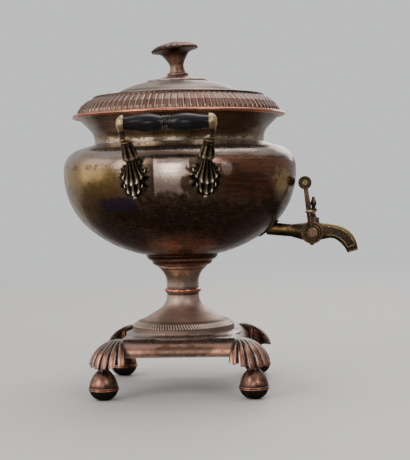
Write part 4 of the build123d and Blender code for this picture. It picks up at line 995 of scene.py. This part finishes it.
def make_calyx(columns=12 * petal_count):
    """The leafy sleeve round the foot of the right near arm."""
    heading = (arm_foot - arm_top).normalized()
    first = heading.cross(Vector((0, 0, 1))).normalized()
    second = heading.cross(first)
    start = arm_foot - heading * (petal_length + petal_rise)
    # Share of the length, radius, and how far the petals stand out
    shape = (
        (0.00, 0.0030, 0.0), (0.00, 0.0056, 0.3), (0.06, 0.0062, 0.6), (0.12, 0.0057, 0.2),
        (0.20, 0.0058, 0.5), (0.35, 0.0062, 0.8), (0.50, 0.0068, 1.0), (0.65, 0.0073, 1.0),
        (0.80, 0.0076, 1.0), (0.90, 0.0079, 1.1), (0.97, 0.0080, 1.1), (1.00, 0.0076, 1.0),
        (0.97, 0.0066, 0.4), (0.95, 0.0030, 0.0),
    )
    rows = []
    for share, radius, petals in shape:
        row = []
        for column in range(columns):
            turn = math.tau * column / columns
            crest = abs(math.cos(petal_count * turn / 2))
            out = radius + petals * 0.0011 * (crest ** 0.6 - 0.7)
            drop = petal_length * share + (0.0012 * crest if share > 0.85 else 0)
            place = start + heading * drop + (first * math.cos(turn) + second * math.sin(turn)) * out
            # Relief value for the colour: painted highlight and wear on the petals' crests and tips
            worn = crest ** 2 * (0.45 + 0.5 * share) + (0.5 if share > 0.88 else 0)
            row.append((place, min(worn, 1.0)))
        rows.append(row)
    top, end = [[(start + heading * petal_length * share, 0.0)] * columns for share in (0.0, 0.95)]
    calyx = sheet("calyx_near_right", [top, *rows[:-1], end, rows[-1]], closed=True)
    facing_out(calyx)
    smoothed(calyx)
    return calyx


def place_four(piece, word, stands_for):
    """Put a near right piece at all four arms, riding on the urn."""
    across_x, across_y = Matrix.Scale(-1, 4, (1, 0, 0)), Matrix.Scale(-1, 4, (0, 1, 0))
    turns = {
        "near_left": across_x,
        "far_right": across_y,
        "far_left": across_x @ across_y,
    }
    pieces = {"near_right": piece}
    for corner, matrix in turns.items():
        pieces[corner] = copied(piece, matrix)
        pieces[corner].name = word + "_" + corner
        facing_out(pieces[corner])
    for corner, twin in pieces.items():
        side, hand = corner.split("_")
        painted(twin, leaf_metal)
        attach(twin, "urn")
        if stands_for:
            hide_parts(side + "_" + stands_for + "_" + hand)


place_four(make_leaf(), "leaf", "leaf")
place_four(make_calyx(), "calyx", "")


# Milled border of the pedestal's ring


def make_milled_border():
    """Slanted bars all round the slope of the pedestal's ring."""
    deselect_all()
    bpy.ops.mesh.primitive_cube_add(size=1)
    bar = named("milled_bar")
    bar.scale = tick_size
    settle(bar)
    bpy.ops.object.mode_set(mode="EDIT")
    bpy.ops.mesh.select_all(action="SELECT")
    bpy.ops.mesh.bevel(offset=tick_bevel, segments=1)
    bpy.ops.object.mode_set(mode="OBJECT")
    lean = Matrix.Rotation(tick_slope, 4, "Y") @ Matrix.Rotation(tick_slant, 4, "Z")
    bar.data.transform(Matrix.Translation((tick_reach, 0, pedestal_z + tick_height)) @ lean)
    turns = [Matrix.Rotation(math.tau * index / tick_count, 4, "Z") for index in range(1, tick_count)]
    border = joined([bar] + [copied(bar, turn) for turn in turns], "milled_border")
    smoothed(border, 30)
    painted(border, tick_metal)
    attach(border, "urn")


make_milled_border()


# Raised lines and rings on the tap


tap_tree = tree_of("tap_body")


def spout_side_point(distance, offset, side):
    """A point on one side of the spout, a distance along it and offset up from its middle."""
    bent = spout_bend_radius * spout_bend
    turn = min(max(distance - spout_straight, 0) / spout_bend_radius, spout_bend)
    rest = max(distance - spout_straight - bent, 0)
    x = plug_x + min(distance, spout_straight) + spout_bend_radius * math.sin(turn)
    z = plug_z + spout_rise - spout_bend_radius * (1 - math.cos(turn))
    x += rest * math.cos(turn) + offset * math.sin(turn)
    z += offset * math.cos(turn) - rest * math.sin(turn)
    place, _, _, _ = tap_tree.ray_cast(Vector((x, side * 0.03, z)), Vector((0, -side, 0)))
    return place


def make_spout_borders(steps=26):
    """The raised line round the panel on each side of the spout, and one at its mouth."""
    end = spout_length - border_end_gap
    mouth = spout_length - mouth_line_gap
    distances = [border_start + (end - border_start) * step / steps for step in range(steps + 1)]
    upper = [(distance, 1) for distance in distances]
    lower = [(distance, -1) for distance in reversed(distances)]
    panel = upper + [(end, share) for share in (0.5, 0, -0.5)] + lower
    mouth_line = [(mouth, share) for share in (1, 0.4, -0.4, -1)]
    rails = []
    for side in (-1, 1):
        for name, line in (("spout_border", panel), ("mouth_line", mouth_line)):
            points = [spout_side_point(distance, border_offset * share, side) for distance, share in line]
            rails.append(rail(name, points, border_radius))
    borders = joined(rails, "spout_borders")
    facing_out(borders)
    smoothed(borders)
    painted(borders, line_brass)
    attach(borders, "urn")


def make_face_ring(name, face_y, material, body, radius, thickness):
    """A round ring on the tap's near face, about the plug's axis."""
    deselect_all()
    bpy.ops.mesh.primitive_torus_add(
        major_radius=radius, minor_radius=thickness, major_segments=48, minor_segments=8,
        location=(plug_x, face_y, plug_z), rotation=(math.pi / 2, 0, 0),
    )
    ring = named(name)
    settle(ring)
    smoothed(ring)
    painted(ring, material)
    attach(ring, body)


def make_lever_line(steps=6):
    """The raised line up the front of the lever's foot."""
    upwards = Vector((-math.sin(lever_lean), 0, math.cos(lever_lean)))
    start = Vector((plug_x, lever_line_y, plug_z))
    reaches = [lever_line_start + lever_line_length * step / steps for step in range(steps + 1)]
    points = [start + upwards * reach for reach in reaches]
    line = rail("lever_line", points, lever_line_radius)
    facing_out(line)
    smoothed(line)
    painted(line, ring_copper)
    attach(line, "tap_key")


make_spout_borders()
barrel_face_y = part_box("tap_body")[0].y
make_face_ring("barrel_ring", barrel_face_y, ring_copper, "urn", radius=0.0110, thickness=0.0007)
make_face_ring("plug_ring", plug_face_y, ring_copper, "tap_key", radius=0.0081, thickness=0.0005)
make_face_ring("eye_ring", lever_face_y, line_brass, "tap_key", radius=0.0049, thickness=0.0006)
make_lever_line()


# Camera, light and floor. The floor and the surrounding are darker where only the metal sees them


floor_colour = (0.66, 0.65, 0.63, 1)
floor_in_metal = (0.075, 0.060, 0.050, 1)
surrounding_colour = (0.76, 0.77, 0.78, 1)
room_left = (0.62, 0.61, 0.60, 1)
room_right = (0.38, 0.37, 0.36, 1)
room_front = (0.16, 0.14, 0.125, 1)
room_above = (0.70, 0.69, 0.68, 1)
room_low_front = (0.06, 0.05, 0.042, 1)


def make_camera():
    """The camera as it stood for the photograph."""
    data = bpy.data.cameras.new("camera")
    camera = bpy.data.objects.new("camera", data)
    bpy.context.collection.objects.link(camera)
    turn = camera_azimuth + camera_pan
    forward = Vector((
        -math.sin(turn) * math.cos(camera_pitch),
        math.cos(turn) * math.cos(camera_pitch),
        -math.sin(camera_pitch),
    ))
    level = Vector((math.cos(turn), math.sin(turn), 0))
    upright = level.cross(forward)
    right = level * math.cos(camera_roll) + upright * math.sin(camera_roll)
    up = upright * math.cos(camera_roll) - level * math.sin(camera_roll)
    place = Matrix((right, up, -forward)).transposed().to_4x4()
    place.translation = (
        camera_distance * math.sin(camera_azimuth),
        -camera_distance * math.cos(camera_azimuth),
        camera_height,
    )
    camera.matrix_world = place
    data.sensor_width = sensor_size
    data.lens = camera_focal_pixels / photo_long_side * sensor_size
    bpy.context.scene.camera = camera


def make_light(name, azimuth, elevation, distance, width, height, power, colour=(1, 1, 1)):
    """A soft rectangular light that looks at the bowl, placed by its bearing from the front."""
    data = bpy.data.lights.new(name, "AREA")
    data.shape = "RECTANGLE"
    data.size = width
    data.size_y = height
    data.energy = power
    data.color = colour
    light = bpy.data.objects.new(name, data)
    bpy.context.collection.objects.link(light)
    turn, rise = math.radians(azimuth), math.radians(elevation)
    bearing = Vector((math.sin(turn) * math.cos(rise), -math.cos(turn) * math.cos(rise), math.sin(rise)))
    light.location = Vector((0, 0, 0.2)) + bearing * distance
    light.rotation_euler = (-bearing).to_track_quat("-Z", "Y").to_euler()


def make_floor():
    """A pale floor that fades into the pale surrounding, and looks dark in the metal."""
    deselect_all()
    bpy.ops.mesh.primitive_circle_add(vertices=96, radius=6.0, fill_type="NGON", location=(0, 0, 0))
    floor = named("floor")
    material = bpy.data.materials.new("pale_floor")
    material.use_nodes = True
    paint = Nodes(material.node_tree)
    shader = paint.tree.nodes["Principled BSDF"].inputs
    place = paint.add("ShaderNodeTexCoord").outputs["Object"]
    _, back, _ = paint.add("ShaderNodeSeparateXYZ", {0: place}).outputs
    away = paint.add("ShaderNodeVectorMath", {0: place}, operation="LENGTH").outputs["Value"]
    in_metal = paint.add("ShaderNodeLightPath").outputs["Is Glossy Ray"]
    solid = {0: in_metal, 2: paint.ramp(away, 2.2, 0.7), 3: paint.ramp(back, 0.36, 0.24)}
    paint.give(shader["Base Color"], paint.mixed(in_metal, floor_colour, floor_in_metal))
    paint.give(shader["Roughness"], 0.6)
    paint.give(shader["Alpha"], paint.add("ShaderNodeMix", solid).outputs[0])
    painted(floor, material)


def make_surrounding():
    """Pale all round to the eye, and a room with a bright left and a dark front in the metal."""
    world = bpy.context.scene.world or bpy.data.worlds.new("world")
    bpy.context.scene.world = world
    world.use_nodes = True
    air = Nodes(world.node_tree)
    air.tree.nodes.clear()
    direction = air.add("ShaderNodeTexCoord").outputs["Generated"]
    x, y, z = air.add("ShaderNodeSeparateXYZ", {0: direction}).outputs
    room = air.mixed(air.ramp(x, -0.7, 0.9), room_left, room_right)
    room = air.mixed(air.times(air.ramp(y, -0.2, -0.9), 0.7), room, room_front)
    room = air.mixed(air.ramp(z, 0.30, 0.85), room, room_above)
    low_front = air.times(air.ramp(z, 0.02, -0.05), air.ramp(y, 0.1, -0.2))
    room = air.mixed(low_front, room, room_low_front)
    in_metal = air.add("ShaderNodeBackground", {"Color": room, "Strength": 1.0}).outputs[0]
    to_eye = air.add("ShaderNodeBackground", {"Color": surrounding_colour, "Strength": 1.0}).outputs[0]
    seen = air.add("ShaderNodeLightPath").outputs["Is Camera Ray"]
    both = air.add("ShaderNodeMixShader", {0: seen, 1: in_metal, 2: to_eye}).outputs[0]
    air.add("ShaderNodeOutputWorld", {0: both})


def make_studio():
    """Floor, surrounding and soft lights, the brightest at the front left."""
    make_floor()
    make_surrounding()
    make_light("front_left_window", -44, 21, 2.2, 1.1, 1.4, 20, (1.0, 0.98, 0.95))
    make_light("behind_the_camera", -4, 10, 2.6, 0.9, 1.0, 7, (1.0, 0.97, 0.93))
    make_light("left_window", -88, 14, 2.0, 1.2, 1.5, 7, (1.0, 0.99, 0.97))
    make_light("front_right_window", 37, 27, 2.2, 0.7, 0.9, 8, (0.95, 0.97, 1.0))
    make_light("overhead", 150, 72, 2.0, 1.6, 1.6, 18)
    make_light("back_fill", 165, 20, 2.2, 1.4, 0.9, 9)


make_camera()
make_studio()
